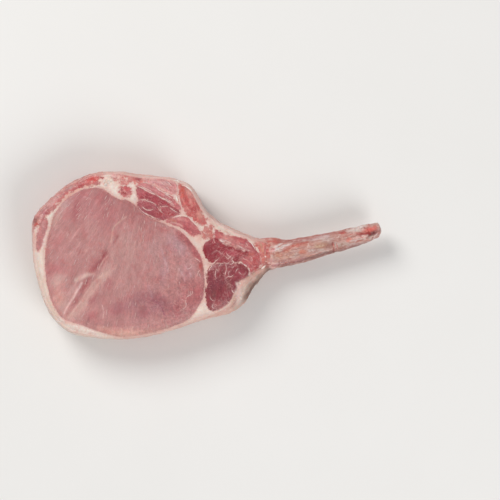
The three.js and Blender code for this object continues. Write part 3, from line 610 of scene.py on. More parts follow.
WALLS = {
    "back_fat": {
        "line": [(-101, -6), (-97, -24), (-88, -38), (-72, -47), (-62, -49)],
        "fat": 1.1, "fat_tone": rgb(226, 202, 187), "lean": rgb(206, 150, 140),
        "mottle": 0.3, "rough": 0.25,
    },
    "thin_fat": {
        "line": [(-50, -49.5), (-28, -46), (-8, -40), (8, -36)],
        "fat": 0.5, "fat_tone": rgb(222, 184, 168), "lean": rgb(204, 142, 130),
        "mottle": 0.35, "rough": 0.3,
    },
    "belly_end": {
        "line": [(17, -32), (23, -25), (28, -18.5), (32.5, -13)],
        "fat": 0.5, "fat_tone": rgb(196, 162, 146), "lean": rgb(166, 122, 110),
        "mottle": 0.5, "rough": 0.5,
    },
    "neck": {
        "line": [(36, -9), (39.5, 0.5), (37, 8.5), (31, 11)],
        "fat": -0.1, "fat_tone": rgb(216, 160, 148), "lean": rgb(188, 96, 90),
        "mottle": 0.6, "rough": 0.45,
    },
    "rib_side": {
        "line": [(24, 12.5), (12, 17), (4, 22.5), (-3, 31), (-8, 38.5)],
        "fat": 0.5, "fat_tone": rgb(220, 178, 166), "lean": rgb(202, 130, 120),
        "mottle": 0.35, "rough": 0.3,
    },
    "top_side": {
        "line": [(-14, 43.5), (-30, 47), (-45, 49), (-58, 49)],
        "fat": 0.3, "fat_tone": rgb(216, 168, 158), "lean": rgb(200, 126, 118),
        "mottle": 0.4, "rough": 0.4,
    },
    "chine_side": {
        "line": [(-66, 48), (-78, 44), (-88, 36), (-98, 27), (-102.5, 19)],
        "fat": -0.2, "fat_tone": rgb(206, 156, 148), "lean": rgb(188, 118, 112),
        "mottle": 0.45, "rough": 0.55,
    },
    "corner": {
        "line": [(-102.5, 12), (-102, 4)],
        "fat": 0.4, "fat_tone": rgb(218, 180, 168), "lean": rgb(196, 128, 120),
        "mottle": 0.4, "rough": 0.35,
    },
}
# Layers that show where the belly end leans out, partly painted shade on the slope: height above the table,
# and tone.
BELLY_LAYERS_AND_SHADE = [
    (0.0, rgb(120, 96, 88)), (7.0, rgb(136, 108, 98)), (11.0, rgb(176, 142, 124)),
    (15.5, rgb(190, 156, 138)), (18.0, rgb(142, 108, 98)), (22.5, rgb(150, 114, 102)),
    (25.5, rgb(204, 168, 148)), (30.0, rgb(222, 190, 174)),
]
WALL_BLEND = 6.5
# Lobes of fat that swell out of the brim: place, reach and height.
FAT_LOBES = [
    ((18.6, -24.6), (1.9, 2.3), 0.9), ((18.4, -20.6), (1.7, 1.8), 0.8), ((17.9, -16.6), (1.1, 1.4), 0.6),
    ((24.4, -10.6), (1.0, 0.9), 0.5), ((31.6, -7.6), (1.6, 1.2), 0.4),
]

# ---- Threads of sinew and fat lying in the cut face ------------------------------------------
# Each thread: its thickest half width, then the points it runs through.

FACE_THREADS = [
    (0.40,
     [(-41.1, 40.6), (-37.3, 39.0), (-33.3, 36.5), (-29.3, 35.0),
      (-25.8, 33.0), (-22.0, 31.2), (-19.0, 29.4)]),
    (0.22, [(-38.6, 40.8), (-36.0, 39.0), (-33.0, 37.6), (-30.6, 35.6)]),
    (0.34, [(-32.3, 41.1), (-29.8, 39.6), (-27.3, 37.6), (-23.7, 36.0), (-20.0, 34.6), (-18.0, 32.4)]),
    (0.16, [(-24.6, 43.6), (-22.4, 42.2), (-20.4, 40.0)]),
    (0.16, [(-35.4, 44.6), (-31.6, 45.2), (-27.6, 44.8)]),
    (0.22, [(-36.4, 42.6), (-33.6, 41.6), (-31.2, 40.0), (-28.8, 38.8)]),
    (0.20, [(-29.4, 43.6), (-26.4, 42.0), (-23.6, 40.0), (-21.6, 37.6)]),
    (0.20, [(-26.0, 36.6), (-23.6, 35.2), (-21.0, 33.6), (-19.4, 31.8)]),
    (0.24,
     [(-39.8, 32.0), (-36.8, 32.4), (-33.3, 31.3), (-30.8, 30.2),
      (-28.8, 28.0), (-26.8, 25.5), (-25.2, 24.2)]),
    (0.16, [(-24.4, 33.6), (-22.0, 32.0), (-19.6, 30.6)]),
    (0.30, [(-37.6, 28.0), (-35.8, 26.8), (-33.4, 26.2), (-31.2, 26.8)]),
    (0.40, [(-26.3, 28.3), (-23.4, 28.8), (-20.2, 26.8), (-17.4, 25.0)]),
    (0.36, [(-40.2, 28.6), (-37.6, 25.6), (-34.6, 23.9), (-31.0, 22.2), (-27.3, 20.9)]),
    (0.55,
     [(-20.8, 21.6), (-17.0, 23.0), (-13.6, 23.2), (-10.5, 22.3),
      (-8.2, 19.6), (-5.4, 16.8), (-2.6, 14.6)]),
    (0.42, [(-17.0, 42.0), (-16.9, 37.2), (-16.1, 33.2), (-15.2, 29.2), (-13.6, 25.6), (-12.4, 23.6)]),
    (0.42, [(-5.6, 15.8), (-3.0, 14.2), (-0.4, 12.2)]),
    (0.40, [(3.4, 18.4), (3.6, 14.2), (3.6, 10.0), (3.9, 8.4)]),
    (0.24, [(7.4, 9.4), (9.0, 9.0), (11.8, 8.2), (15.0, 7.0), (18.6, 5.4), (21.4, 3.8)]),
    (0.18, [(8.4, 8.0), (9.4, 6.8), (11.2, 5.8)]),
    (0.18, [(21.4, 3.8), (24.0, 3.0), (27.0, 2.6)]),
    (0.20, [(21.2, 4.2), (21.8, 2.6), (21.6, 1.6)]),
    (0.20, [(3.1, 1.2), (4.4, 2.3), (5.8, 2.6), (7.2, 2.1), (7.9, 1.0)]),
    (0.22, [(8.5, 1.2), (10.0, 0.2), (11.2, -1.0), (12.3, -1.8), (13.4, -0.6), (14.4, 0.2)]),
    (0.24, [(14.9, -0.9), (14.4, -2.4), (15.4, -3.6), (14.6, -4.8), (13.4, -5.2)]),
    (0.32, [(-0.2, -3.4), (1.6, -4.6), (3.6, -4.6), (5.2, -3.0), (6.9, -1.4)]),
    (0.28, [(3.5, -5.0), (2.2, -6.8), (0.9, -9.0)]),
    (0.20, [(5.2, -4.6), (7.0, -4.2), (8.6, -4.9), (10.0, -4.2), (11.6, -4.8), (13.6, -3.4), (14.8, -3.6)]),
    (0.16, [(11.2, 1.6), (12.0, 0.2), (13.6, -0.8), (14.2, -2.4)]),
    (0.16, [(16.4, -5.4), (15.4, -6.8), (14.0, -7.2)]),
    (0.16, [(4.6, -6.0), (5.2, -7.8), (6.6, -8.8)]),
    (0.15, [(13.2, -9.0), (12.2, -10.2), (12.6, -11.6)]),
    (0.15, [(18.2, -7.6), (16.8, -8.6), (16.6, -10.0)]),
    (0.15, [(22.2, 7.4), (23.4, 6.2), (23.0, 4.8)]),
    (0.15, [(17.0, 8.6), (18.4, 7.8), (19.0, 6.6)]),
    (0.15, [(24.8, -0.4), (26.0, -1.6), (26.2, -3.4)]),
    (0.15, [(20.4, -0.8), (21.6, -2.0), (23.4, -2.2)]),
    (0.20, [(8.0, -4.9), (6.8, -6.6), (7.2, -8.0)]),
    (0.24, [(10.8, -4.9), (11.2, -8.0), (10.4, -10.8), (10.7, -13.8)]),
    (0.20, [(16.2, -4.2), (17.4, -6.4)]),
    (0.32, [(18.6, -3.9), (20.8, -4.8), (23.2, -6.6), (24.6, -9.2)]),
    (0.22, [(23.6, -7.4), (25.0, -7.8), (26.2, -7.5)]),
    (0.18, [(15.2, -11.2), (13.6, -12.4), (12.0, -12.2), (11.2, -13.4)]),
    (0.18, [(18.4, -9.6), (20.0, -10.8), (21.6, -10.2)]),
    (0.18, [(5.2, -8.4), (4.6, -11.2), (5.2, -13.0)]),
    (0.26, [(13.6, -17.6), (14.6, -20.3), (16.3, -23.2)]),
    (0.28, [(11.0, -25.4), (12.0, -26.8), (13.0, -27.8)]),
    (0.20, [(1.8, -24.0), (2.6, -25.6), (4.2, -26.4)]),
    (0.18, [(3.8, -28.0), (2.8, -29.6), (4.0, -30.8)]),
    (0.18, [(9.9, -30.1), (10.7, -32.2)]),
    (0.24,
     [(-8.4, -20.4), (-9.0, -22.5), (-11.6, -24.0), (-12.7, -26.4),
      (-12.0, -28.4), (-13.5, -31.1), (-15.6, -31.9)]),
    (0.12, [(-12.9, -26.4), (-14.3, -25.6), (-15.2, -25.9)]),
    (0.20, [(-24.0, 17.8), (-23.2, 16.2), (-24.4, 15.2)]),
    (0.20, [(-7.4, -1.2), (-5.6, -2.4), (-3.8, -3.8)]),
    (0.18, [(-3.8, -8.0), (-5.2, -9.6), (-5.6, -12.0)]),
    (0.18, [(-13.4, -5.4), (-11.2, -4.6), (-9.4, -5.2), (-9.0, -6.8), (-11.0, -7.6), (-13.2, -7.4)]),
    (0.20, [(-60.9, -28.6), (-60.1, -32.5), (-60.5, -36.4)]),
    (0.26, [(-78.0, -35.9), (-77.3, -36.4)]),
    (0.26, [(-69.3, -38.8), (-68.6, -40.2)]),
    (0.22, [(-26.6, -34.9), (-26.0, -35.5)]),
]
# Near-white threads: pale wet flecks of sinew that stand out most, and painted glints, the widest one at the
# neck standing for a wet highlight.
SINEW_AND_GLINT_THREADS = [
    # The widest, at the neck, stands for a wet white highlight: a painted glint.
    (0.80, [(31.3, -7.9), (32.4, -6.9), (33.9, -5.6)]),
    (0.40, [(33.6, -1.0), (34.2, -0.3)]),
    (0.36, [(-17.9, 34.6), (-17.5, 32.8), (-17.0, 31.4)]),
    (0.50, [(-18.2, 43.4), (-17.2, 43.2), (-16.6, 42.4)]),
    (0.30, [(7.4, 9.0), (8.4, 8.4), (9.2, 8.0)]),
    (0.32, [(-14.9, 40.7), (-12.8, 40.2), (-10.6, 38.9), (-8.6, 37.0)]),
    (0.36, [(-19.8, 43.2), (-17.8, 43.5), (-15.9, 43.0)]),
    (0.28, [(23.6, 8.8), (25.4, 7.4), (27.0, 5.2), (28.0, 2.8)]),
]

# ---- The rib ---------------------------------------------------------------------------------

# The line along the middle of the rib, seen from above.
BONE_LINE = [(21, 0.6), (37, 0.9), (51, 2.3), (65, 5.5), (79, 9.0), (93, 12.8), (100.8, 15.2)]

# Shreds of meat and membrane on the rib: half width, and the points they run through.
NECK_SHREDS = [
    (0.50, [(32.8, 5.8), (34.6, 6.6), (36.6, 6.0), (37.6, 5.0)]),
    (0.42, [(33.4, 3.4), (35.2, 4.3), (37.0, 4.1), (38.2, 3.4)]),
    (0.34, [(33.2, 8.5), (35.6, 8.1), (38.2, 8.3)]),
    (0.26, [(33.4, 0.2), (33.9, 2.0), (34.0, 3.8)]),
    (0.34, [(33.6, -3.4), (35.6, -3.2), (38.0, -2.6)]),
    (0.30, [(34.2, -5.6), (36.2, -5.6), (38.2, -5.0)]),
]
ROOT_SHREDS = [
    (0.34, [(41.0, 4.6), (43.6, 6.2), (47.0, 7.4)]),
    (0.30, [(41.4, 2.8), (44.4, 4.0), (48.0, 6.0)]),
    (0.30, [(41.2, -0.4), (43.6, 0.0), (46.4, 1.2)]),
    (0.40, [(41.4, -4.8), (44.6, -4.4), (48.6, -3.4)]),
    (0.30, [(46.0, 2.0), (49.6, 4.2), (53.6, 5.6), (58.0, 6.2)]),
    (0.30, [(58.0, -0.6), (61.4, 0.6), (64.4, 1.2), (68.0, 2.8)]),
    (0.35, [(73.6, 7.6), (73.8, 5.0), (74.6, 2.4)]),
    (0.30, [(75.2, 7.4), (75.6, 5.0), (76.4, 3.2)]),
    (0.40, [(80.6, 12.6), (83.6, 12.2), (86.4, 13.0), (89.4, 12.6)]),
    (0.45, [(84.4, 9.4), (87.0, 10.8), (89.6, 10.4), (91.6, 11.4)]),
    (0.35, [(88.6, 15.6), (91.4, 15.2), (94.0, 16.0), (97.0, 17.2)]),
]


# ---- Curves and fields -----------------------------------------------------------------------

def smooth_path(points, closed=False, gap=0.6):
    """A smooth curve through points in millimetres, as a row of points about one gap apart."""
    knots = np.array(points, float)
    if closed:
        knots = np.vstack([knots[-1:], knots, knots[:2]])
    else:
        knots = np.vstack([2 * knots[0] - knots[1], knots, 2 * knots[-1] - knots[-2]])
    rows = []
    for a, b, c, d in zip(knots, knots[1:], knots[2:], knots[3:]):
        steps = max(2, math.ceil(np.linalg.norm(c - b) / gap))
        t = np.linspace(0, 1, steps, endpoint=False)[:, None]
        curve = 2 * b + (c - a) * t + (2 * a - 5 * b + 4 * c - d) * t**2
        rows.append((curve + (3 * b - a - 3 * c + d) * t**3) / 2)
    end = rows[0][:1] if closed else knots[-2:-1]
    return np.vstack(rows + [end])


def path_distance(spots, path):
    """How far each spot is from a path."""
    best = np.full(len(spots), np.inf)
    for start, end in zip(path, path[1:]):
        way = end - start
        part = np.clip((spots - start) @ way / (way @ way), 0, 1)
        gap = np.linalg.norm(spots - start - part[:, None] * way, axis=1)
        best = np.minimum(best, gap)
    return best


def near_box(spots, path, reach):
    """Which spots are within reach of the box round a path."""
    return np.all((spots > path.min(0) - reach) & (spots < path.max(0) + reach), axis=1)


def outline_distance(spots, loop, reach=EDGE_REACH):
    """Distance to a closed loop, below zero inside it, and never more than the reach."""
    result = np.full(len(spots), reach)
    near = near_box(spots, loop, reach)
    some = spots[near]
    inside = np.zeros(len(some), bool)
    for (ax, ay), (bx, by) in zip(loop, loop[1:]):
        if ay != by:
            crosses = (ay > some[:, 1]) != (by > some[:, 1])
            inside ^= crosses & (some[:, 0] < (bx - ax) * (some[:, 1] - ay) / (by - ay) + ax)
    gap = path_distance(some, loop)
    result[near] = np.minimum(np.where(inside, -gap, gap), reach)
    return result


def lumps(spots, size, seed):
    """A smooth random field from -1 to 1, with lumps of about the given size."""
    grid = spots / size
    cell = np.floor(grid).astype(np.int64)
    part = grid - cell
    fade = part * part * (3 - 2 * part)
    total = np.zeros(len(spots))
    for corner in np.ndindex((2,) * spots.shape[1]):
        key = (cell + corner) @ np.array([73856093, 19349663, 83492791][: spots.shape[1]])
        key = (key + seed * 26544357) & 0x7FFFFFFF
        key = ((key ^ (key >> 15)) * 2246822519) & 0x7FFFFFFF
        key = ((key ^ (key >> 13)) * 3266489917) & 0x7FFFFFFF
        value = ((key >> 7) & 0xFFFF) / 32767.5 - 1
        weight = np.prod(np.where(corner, fade, 1 - fade), axis=1)
        total += value * weight
    return total


def layered(spots, size, seed, layers=3):
    """Lumps with smaller lumps on them."""
    return sum(lumps(spots, size / 2**k, seed + k) / 2**k for k in range(layers))


def sideways(spots, size, seed):
    """A smooth random shift along X and Y for each spot, from -1 to 1 each way."""
    return np.stack([layered(spots, size, seed + k) for k in range(2)], axis=1)


def ease(low, high, value):
    """0 at low, 1 at high, smooth between them."""
    part = np.clip((value - low) / (high - low), 0, 1)
    return part * part * (3 - 2 * part)


def blend(tone, colour, share):
    """Moves the tone towards a colour by a share from 0 to 1 at each point."""
    tone += (colour - tone) * share[:, None]


def dab(tone, spots, colour, middle, reach, turn, strength):
    """Blends a soft oval patch of colour into the tone."""
    angle = math.radians(turn)
    along = np.array([math.cos(angle), math.sin(angle)])
    across = np.array([-along[1], along[0]])
    offset = spots[:, :2] - middle
    far = (offset @ along / reach[0]) ** 2 + (offset @ across / reach[1]) ** 2
    blend(tone, colour, strength * np.exp(-(far**1.5)))


def band(tone, spots, colour, half_width, strength, points):
    """Blends a soft stripe of colour into the tone."""
    path = smooth_path(points, gap=1.0)
    near = near_box(spots[:, :2], path, 4 * half_width)
    gap = path_distance(spots[near, :2], path)
    part = tone[near]
    blend(part, colour, strength * np.exp(-((gap / half_width) ** 2)))
    tone[near] = part


# ---- Skins -----------------------------------------------------------------------------------

def new_object(name, mesh):
    obj = bpy.data.objects.new(name, mesh)
    bpy.context.scene.collection.objects.link(obj)
    return obj


def settled(obj):
    """Gives an object the plain mesh that its modifiers make, and removes the modifiers."""
    graph = bpy.context.evaluated_depsgraph_get()
    mesh = bpy.data.meshes.new_from_object(obj.evaluated_get(graph))
    obj.modifiers.clear()
    obj.data = mesh


def merged_copy(node):
    """The CAD node's mesh with its loose triangles joined."""
    shape = bmesh.new()
    shape.from_mesh(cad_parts[node].data)
    bmesh.ops.remove_doubles(shape, verts=shape.verts, dist=0.01 * MM)
    return shape


def even_skin(name, shapes, face_size):
    """One closed skin of small even faces round several closed shapes."""
    joined = bmesh.new()
    for shape in shapes:
        part = bpy.data.meshes.new("part")
        shape.to_mesh(part)
        joined.from_mesh(part)
        shape.free()
        bpy.data.meshes.remove(part)
    mesh = bpy.data.meshes.new(name)
    joined.to_mesh(mesh)
    joined.free()
    obj = new_object(name, mesh)
    remesh = obj.modifiers.new("even faces", "REMESH")
    remesh.mode = "VOXEL"
    remesh.voxel_size = face_size * MM
    settled(obj)
    return obj


class Skin:
    """The points of a fine mesh, in millimetres, and what is worked out for each of them."""

    def __init__(self, obj):
        self.mesh = obj.data
        count = len(self.mesh.vertices)
        flat = np.empty(count * 3, np.float32)
        self.mesh.vertices.foreach_get("co", flat)
        self.spots = flat.reshape(-1, 3).astype(float) / MM
        links = np.empty(len(self.mesh.edges) * 2, np.int32)
        self.mesh.edges.foreach_get("vertices", links)
        self.links = links.reshape(-1, 2)
        self.degree = np.bincount(self.links.ravel(), minlength=count)[:, None]
        corners = np.empty(len(self.mesh.loops), np.int32)
        self.mesh.loops.foreach_get("vertex_index", corners)
        self.quads = corners.reshape(-1, 4)

    def around(self, values):
        """The mean of the neighbours' values at each point."""
        total = np.zeros_like(values)
        for axis in range(values.shape[1]):
            for a, b in ((0, 1), (1, 0)):
                total[:, axis] += np.bincount(
                    self.links[:, a], values[self.links[:, b], axis], len(values)
                )
        return total / self.degree

    def smooth(self, rounds):
        for _ in range(rounds):
            self.spots += (self.around(self.spots) - self.spots) / 2

    def normals(self):
        a, b, c, d = (self.spots[self.quads[:, k]] for k in range(4))
        face = np.cross(c - a, d - b)
        total = np.zeros_like(self.spots)
        for corner in range(4):
            for axis in range(3):
                total[:, axis] += np.bincount(self.quads[:, corner], face[:, axis], len(total))
        return total / np.linalg.norm(total, axis=1)[:, None]

    def keep_in(self, low, high):
        self.spots = np.clip(self.spots, np.array(low), np.array(high))

    def store(self, name, values):
        """Keeps a number, a vector or a colour for each point, for the finish to read."""
        kind, key = ("FLOAT", "value") if values.ndim == 1 else ("FLOAT_VECTOR", "vector")
        attribute = self.mesh.attributes.new(name, kind, "POINT")
        attribute.data.foreach_set(key, values.astype(np.float32).ravel())

    def write(self):
        self.mesh.vertices.foreach_set("co", (self.spots * MM).astype(np.float32).ravel())
        self.mesh.polygons.foreach_set("use_smooth", [True] * len(self.mesh.polygons))
        self.mesh.update()


# ---- The meat --------------------------------------------------------------------------------

def cut_off(shape, x):
    """Drops what lies beyond a plane across the rib, and closes the cut."""
    geometry = shape.verts[:] + shape.edges[:] + shape.faces[:]
    cut = bmesh.ops.bisect_plane(
        shape, geom=geometry, plane_co=(x * MM, 0, 0), plane_no=(1, 0, 0), clear_outer=True
    )
    rim = [item for item in cut["geom_cut"] if isinstance(item, bmesh.types.BMEdge)]
    bmesh.ops.contextual_create(shape, geom=rim)


def socket_plug():
    """The buried end of the rib, a little larger, so that no hollow is left round it."""
    shape = merged_copy("rib_bone")
    shape.normal_update()
    for vert in shape.verts:
        vert.co += vert.normal * PLUG_GROWTH * MM
    cut_off(shape, PLUG_END)
    return shape


def cuff_shape():
    """A thin uneven sleeve of meat and membrane that runs out along the rib and dips under it."""
    shape = merged_copy("rib_bone")
    shape.normal_update()
    spots = np.array([vert.co / MM for vert in shape.verts])
    around = np.arctan2(spots[:, 2] - 14, spots[:, 1] - 2)
    reach = 41 + 1.6 * np.sin(2 * around + 0.6) + 1.2 * np.sin(5 * around + 2)
    thinning = (spots[:, 0] - CUFF_START) / (reach - CUFF_START)
    swell = np.clip(1.5 * (1 - thinning), -2.5, 1.1)
    for vert, move in zip(shape.verts, swell):
        vert.co += vert.normal * float(move) * MM
    cut_off(shape, CUFF_END)
    return shape


def wall_mix(spots):
    """How much each stretch of the wall has to say at each point."""
    places = spots[:, :2] + 4.0 * sideways(spots * (1, 1, 0.7), 15.0, SEED + 80)
    gaps = [path_distance(places, smooth_path(wall["line"], gap=4)) for wall in WALLS.values()]
    weights = np.exp(-np.array(gaps) / WALL_BLEND)
    return weights / weights.sum(0)


def wall_value(mix, key):
    """One of the wall's settings at each point, shared out between the stretches near it."""
    values = np.array([np.atleast_1d(wall[key]) for wall in WALLS.values()], float)
    return np.einsum("wp,wk->pk", mix, values).squeeze()


def straight_fibres(spots, degrees, number):
    """Places measured along and across the fibres of one muscle."""
    angle = math.radians(degrees)
    along = spots[:, 0] * math.cos(angle) + spots[:, 1] * math.sin(angle)
    across = spots[:, 1] * math.cos(angle) - spots[:, 0] * math.sin(angle)
    return np.stack([along, across, spots[:, 2] + NOISE_SHIFT * number], axis=1)


def fanned_fibres(spots):
    """Places measured along and across the fibres of the eye, which spread like a fan."""
    fan = spots[:, :2] - EYE_FAN
    reach = np.linalg.norm(fan, axis=1)
    turn = np.arctan2(fan[:, 0], -fan[:, 1]) * 100
    return np.stack([reach, turn, spots[:, 2]], axis=1)


def meat_fields(skin, normals):
    """Everything that the relief and the finish need to know, at each point of the meat."""
    spots = skin.spots
    wall = 1 - ease(0.34, 0.62, np.abs(normals[:, 2]))
    mix = wall_mix(spots)
    wobble = sideways(spots, 4.0, SEED)
    edge = np.full(len(spots), EDGE_REACH)
    lean = np.tile(CREAM, (len(spots), 1))
    grain = np.zeros((len(spots), 3))
    mottle = np.zeros(len(spots))
    bulge = np.zeros(len(spots))
    for number, muscle in enumerate(MUSCLES.values()):
        sway = OUTLINE_WOBBLE * (0.45 + 0.55 * muscle["mottle"])
        loop = smooth_path(muscle["outline"], closed=True)
        gap = outline_distance(spots[:, :2] + sway * wobble, loop)
        if number == 0:
            eye = gap
            run = fanned_fibres(spots)
        else:
            gap -= OUTLINE_GROWTH
            run = straight_fibres(spots, muscle["grain"], number)
        nearest = gap < edge
        edge = np.where(nearest, gap, edge)
        lean[nearest] = muscle["lean"]
        grain[nearest] = run[nearest]
        mottle[nearest] = muscle["mottle"]
        bulge[nearest] = muscle["bulge"]
    belly = wall * ease(0.2, 0.8, mix[list(WALLS).index("belly_end")])
    join = ease(35.4, 38.6, spots[:, 0] + 1.2 * layered(spots, 3.0, SEED + 33))
    return {
        "edge": edge, "eye": eye, "lean": lean, "grain": grain, "mottle": mottle, "bulge": bulge,
        "wall": wall, "mix": mix, "belly": belly, "join": join,
    }


def layer_and_shade_tone(height):
    """The tone of the layers in the leaning wall at the belly end, darkest low down, partly painted shade.
    """
    heights, tones = zip(*BELLY_LAYERS_AND_SHADE)
    return np.stack([np.interp(height, heights, channel) for channel in np.array(tones).T], axis=1)


def paint_faces(lean, fat, spots, wobble):
    """Adds the patches and stripes of the two cut faces."""
    places = spots[:, :2] + 0.5 * wobble
    for entry in LEAN_DABS:
        dab(lean, places, *entry)
    for entry in LEAN_BANDS:
        band(lean, spots[:, :2] + 0.25 * wobble, *entry)
    for half_width, points in FACE_THREADS:
        band(lean, places, PALE_ROSE, half_width + 0.25, 0.3, points)
    for entry in FAT_DABS:
        dab(fat, places, *entry)


def paint_flank(tone, places, upper):
    """Adds the patches and stripes of the leaning wall at the belly end; its dark bands are painted shade.
    """
    flank = tone.copy()
    for entry in FLANK_BANDS_AND_SHADE:
        band(flank, places, *entry)
    for entry in FLANK_DABS:
        dab(flank, places, *entry)
    blend(tone, flank, upper)


def paint_meat(skin, fields):
    """The colours of the lean and of the fat, first on the cut faces, then on the wall and neck, with
    painted shade at the belly end and painted light along the brim.
    """
    spots = skin.spots
    wobble = sideways(spots, 3.0, SEED + 20)
    places = spots[:, :2] + 0.5 * wobble
    lean = fields["lean"].copy()
    fat = np.tile(CREAM, (len(spots), 1))
    paint_faces(lean, fat, spots, wobble)
    mix, wall, belly = fields["mix"], fields["wall"], fields["belly"]
    blend(lean, wall_value(mix, "lean"), wall)
    blend(fat, wall_value(mix, "fat_tone"), wall)
    # The belly end's layers, partly painted shade.
    layers = layer_and_shade_tone(spots[:, 2] + 1.6 * layered(spots * (0.4, 0.4, 1), 4.0, SEED + 30))
    upper = ease(8, 16, spots[:, 2])
    # The brim: the upper wall is painted lighter all round, more so towards +Y, where it is fatty: painted
    # light.
    brim = wall * ease(21, 27, spots[:, 2]) * (1 - belly) * ease(34, 28, spots[:, 0])
    brim *= ease(-0.3, 0.5, wall_value(mix, "fat"))
    rib = rib_tone(spots)
    neck = ease(24, 29, spots[:, 0])
    for tone in (lean, fat):
        blend(tone, layers, 0.75 * belly)
        paint_flank(tone, places, upper)
        blend(tone, BRIM_FAT_AND_LIGHT, (0.45 + 0.3 * ease(0, 12, spots[:, 1])) * brim)
        stained = tone.copy()
        dab(stained, places, *CORNER_BLOOD)
        blend(tone, stained, ease(20, 27, spots[:, 2]))
        marked = tone.copy()
        mark_rib(marked, spots)
        blend(tone, marked, neck * (1 - 0.8 * wall))
        blend(tone, rib, fields["join"])
    return lean, fat


def wall_edge(skin, fields):
    """On the wall, how deep in fat each point is, in the same measure as on the faces."""
    spots = skin.spots
    fat = wall_value(fields["mix"], "fat")
    sway = 1.5 * layered(spots, 14.0, SEED + 42)
    streaks = layered(spots * (0.16, 0.16, 1.0) + (0, 0, 1) * sway[:, None], 3.0, SEED + 40)
    blots = layered(spots * (0.7, 0.7, 1.0), 9.0, SEED + 44)
    return 1.3 * fat + 0.85 * streaks * (1 - 0.5 * np.abs(fat)) + 0.45 * blots


def meat_relief(skin, normals, fields):
    """Height to add along the normals: muscles that swell out of their seams, and lumps."""
    spots = skin.spots
    wall = fields["wall"]
    depth = np.clip(-fields["edge"], 0, None)
    swell = fields["bulge"] * (1 - np.exp(-depth / 1.3))
    seam = -0.25 * np.exp(-((fields["edge"] / 1.1) ** 2))
    fibres = 0.10 * lumps(fields["grain"] * (0.12, 1.0, 0.3), 1.5, SEED + 50)
    broad = 0.22 * layered(spots, 11.0, SEED + 51) + 0.07 * layered(spots, 3.0, SEED + 53)
    lobes = np.zeros(len(spots))
    for middle, reach, height in FAT_LOBES:
        lobes += height * np.exp(-(((spots[:, :2] - middle) / reach) ** 2).sum(1))
    face = swell + seam + fibres + broad
    rough = wall_value(fields["mix"], "rough")
    side = rough * (layered(spots, 5.5, SEED + 55) + 0.5 * lumps(spots, 1.6, SEED + 58))
    side += 0.5 * lumps(spots * (1, 1, 0.5), 13.0, SEED + 59)
    fuller = 0.8 * wall * ease(34, 18, spots[:, 0])
    relief = face * (1 - wall) + side * wall + lobes * ease(14, 22, spots[:, 2])
    return relief - MEAT_SINK + fuller


def make_meat():
    obj = even_skin("pork_meat", [merged_copy("chop_meat"), socket_plug(), cuff_shape()], MEAT_FACE_SIZE)
    skin = Skin(obj)
    skin.smooth(14)
    normals = skin.normals()
    fields = meat_fields(skin, normals)
    lean, fat = paint_meat(skin, fields)
    wall, join = fields["wall"], fields["join"]
    edge = fields["edge"] + (wall_edge(skin, fields) - fields["edge"]) * wall
    mottle = fields["mottle"] + (wall_value(fields["mix"], "mottle") - fields["mottle"]) * wall
    edge = np.maximum(edge, -0.25 - 1.1 / (0.15 + mottle))
    edge += (1.6 - edge) * join
    mottle *= 1 - join
    grip = ease(0, 1.2, skin.spots[:, 2])
    skin.spots += normals * (meat_relief(skin, normals, fields) * grip)[:, None]
    skin.keep_in(MEAT_BOX[0], (BONE_BOX[1].x, MEAT_BOX[1].y, MEAT_BOX[1].z))
    skin.write()
    on_face = (1 - wall) * (normals[:, 2] > 0)
    flow = skin.spots[:, :2] - EYE_FAN
    skin.store("lean", lean)
    skin.store("fat", fat)
    skin.store("edge", edge)
    skin.store("mottle", mottle)
    skin.store("grain", fields["grain"])
    skin.store("eye", ease(0, 4, -fields["eye"]) * (1 - wall))
    skin.store("fleck", ease(1.0, 3.0, -fields["eye"]) * on_face)
    skin.store("flow", np.column_stack([flow, np.zeros(len(flow))]))
    skin.store("bead", bead_field(skin, on_face, edge))
    skin.store("curly", curly_field(skin, fields))
    thin_underside(obj, skin)
    return obj


def thin_underside(obj, skin):
    """Joins small faces into large ones where the meat lies flat on the table."""
    group = obj.vertex_groups.new(name="underside")
    group.add(np.flatnonzero(skin.spots[:, 2] < 0.05).tolist(), 1.0, "REPLACE")
    fewer = obj.modifiers.new("fewer faces below", "DECIMATE")
    fewer.vertex_group = group.name
    fewer.ratio = 0.68
    settled(obj)


def curly_field(skin, fields):
    """How much fine sinew curls through the lean: the small muscles, and the eye's right side."""
    spots = skin.spots[:, :2]
    right = 0.8 * ease(-50, -18, spots[:, 0] - 0.3 * spots[:, 1])
    corner = 0.3 * np.exp(-(((spots - (-12, -24)) / (9, 10)) ** 2).sum(1))
    in_eye = ease(0, 1.0, -fields["eye"])
    return 1 + (0.1 + right + corner - 1) * in_eye


def bead_field(skin, on_face, edge):
    """Where the fat is grainy: the lump by the belly end and the wide wedges of fat."""
    spots = skin.spots[:, :2]
    lump = np.exp(-(((spots - (18, -22.5)) / (2.6, 5.2)) ** 2).sum(1))
    wedge = 0.35 * np.exp(-(((spots - (-54, 42)) / (8, 4)) ** 2).sum(1))
    return (lump + wedge) * ease(0.2, 0.8, edge) * on_face


# ---- The rib bone ----------------------------------------------------------------------------

def rib_middle(spots):
    """Where the middle of the rib is along Y, beside each spot."""
    return np.interp(spots[:, 0], *zip(*BONE_LINE))


def mark_rib(tone, spots):
    """Adds the patches, dabs and stripes of the rib and of the neck of meat round it."""
    wobble = sideways(spots, 2.4, SEED + 60)
    for entry in RIB_DABS:
        dab(tone, spots[:, :2] + 0.6 * wobble, *entry)
    for colour, strength, outline in RIB_PATCHES:
        gap = outline_distance(spots[:, :2] + 0.45 * wobble, smooth_path(outline, closed=True), 2.0)
        blend(tone, colour, strength * ease(0.5, -0.5, gap))
    for entry in RIB_BANDS:
        band(tone, spots[:, :2] + 0.3 * wobble, *entry)


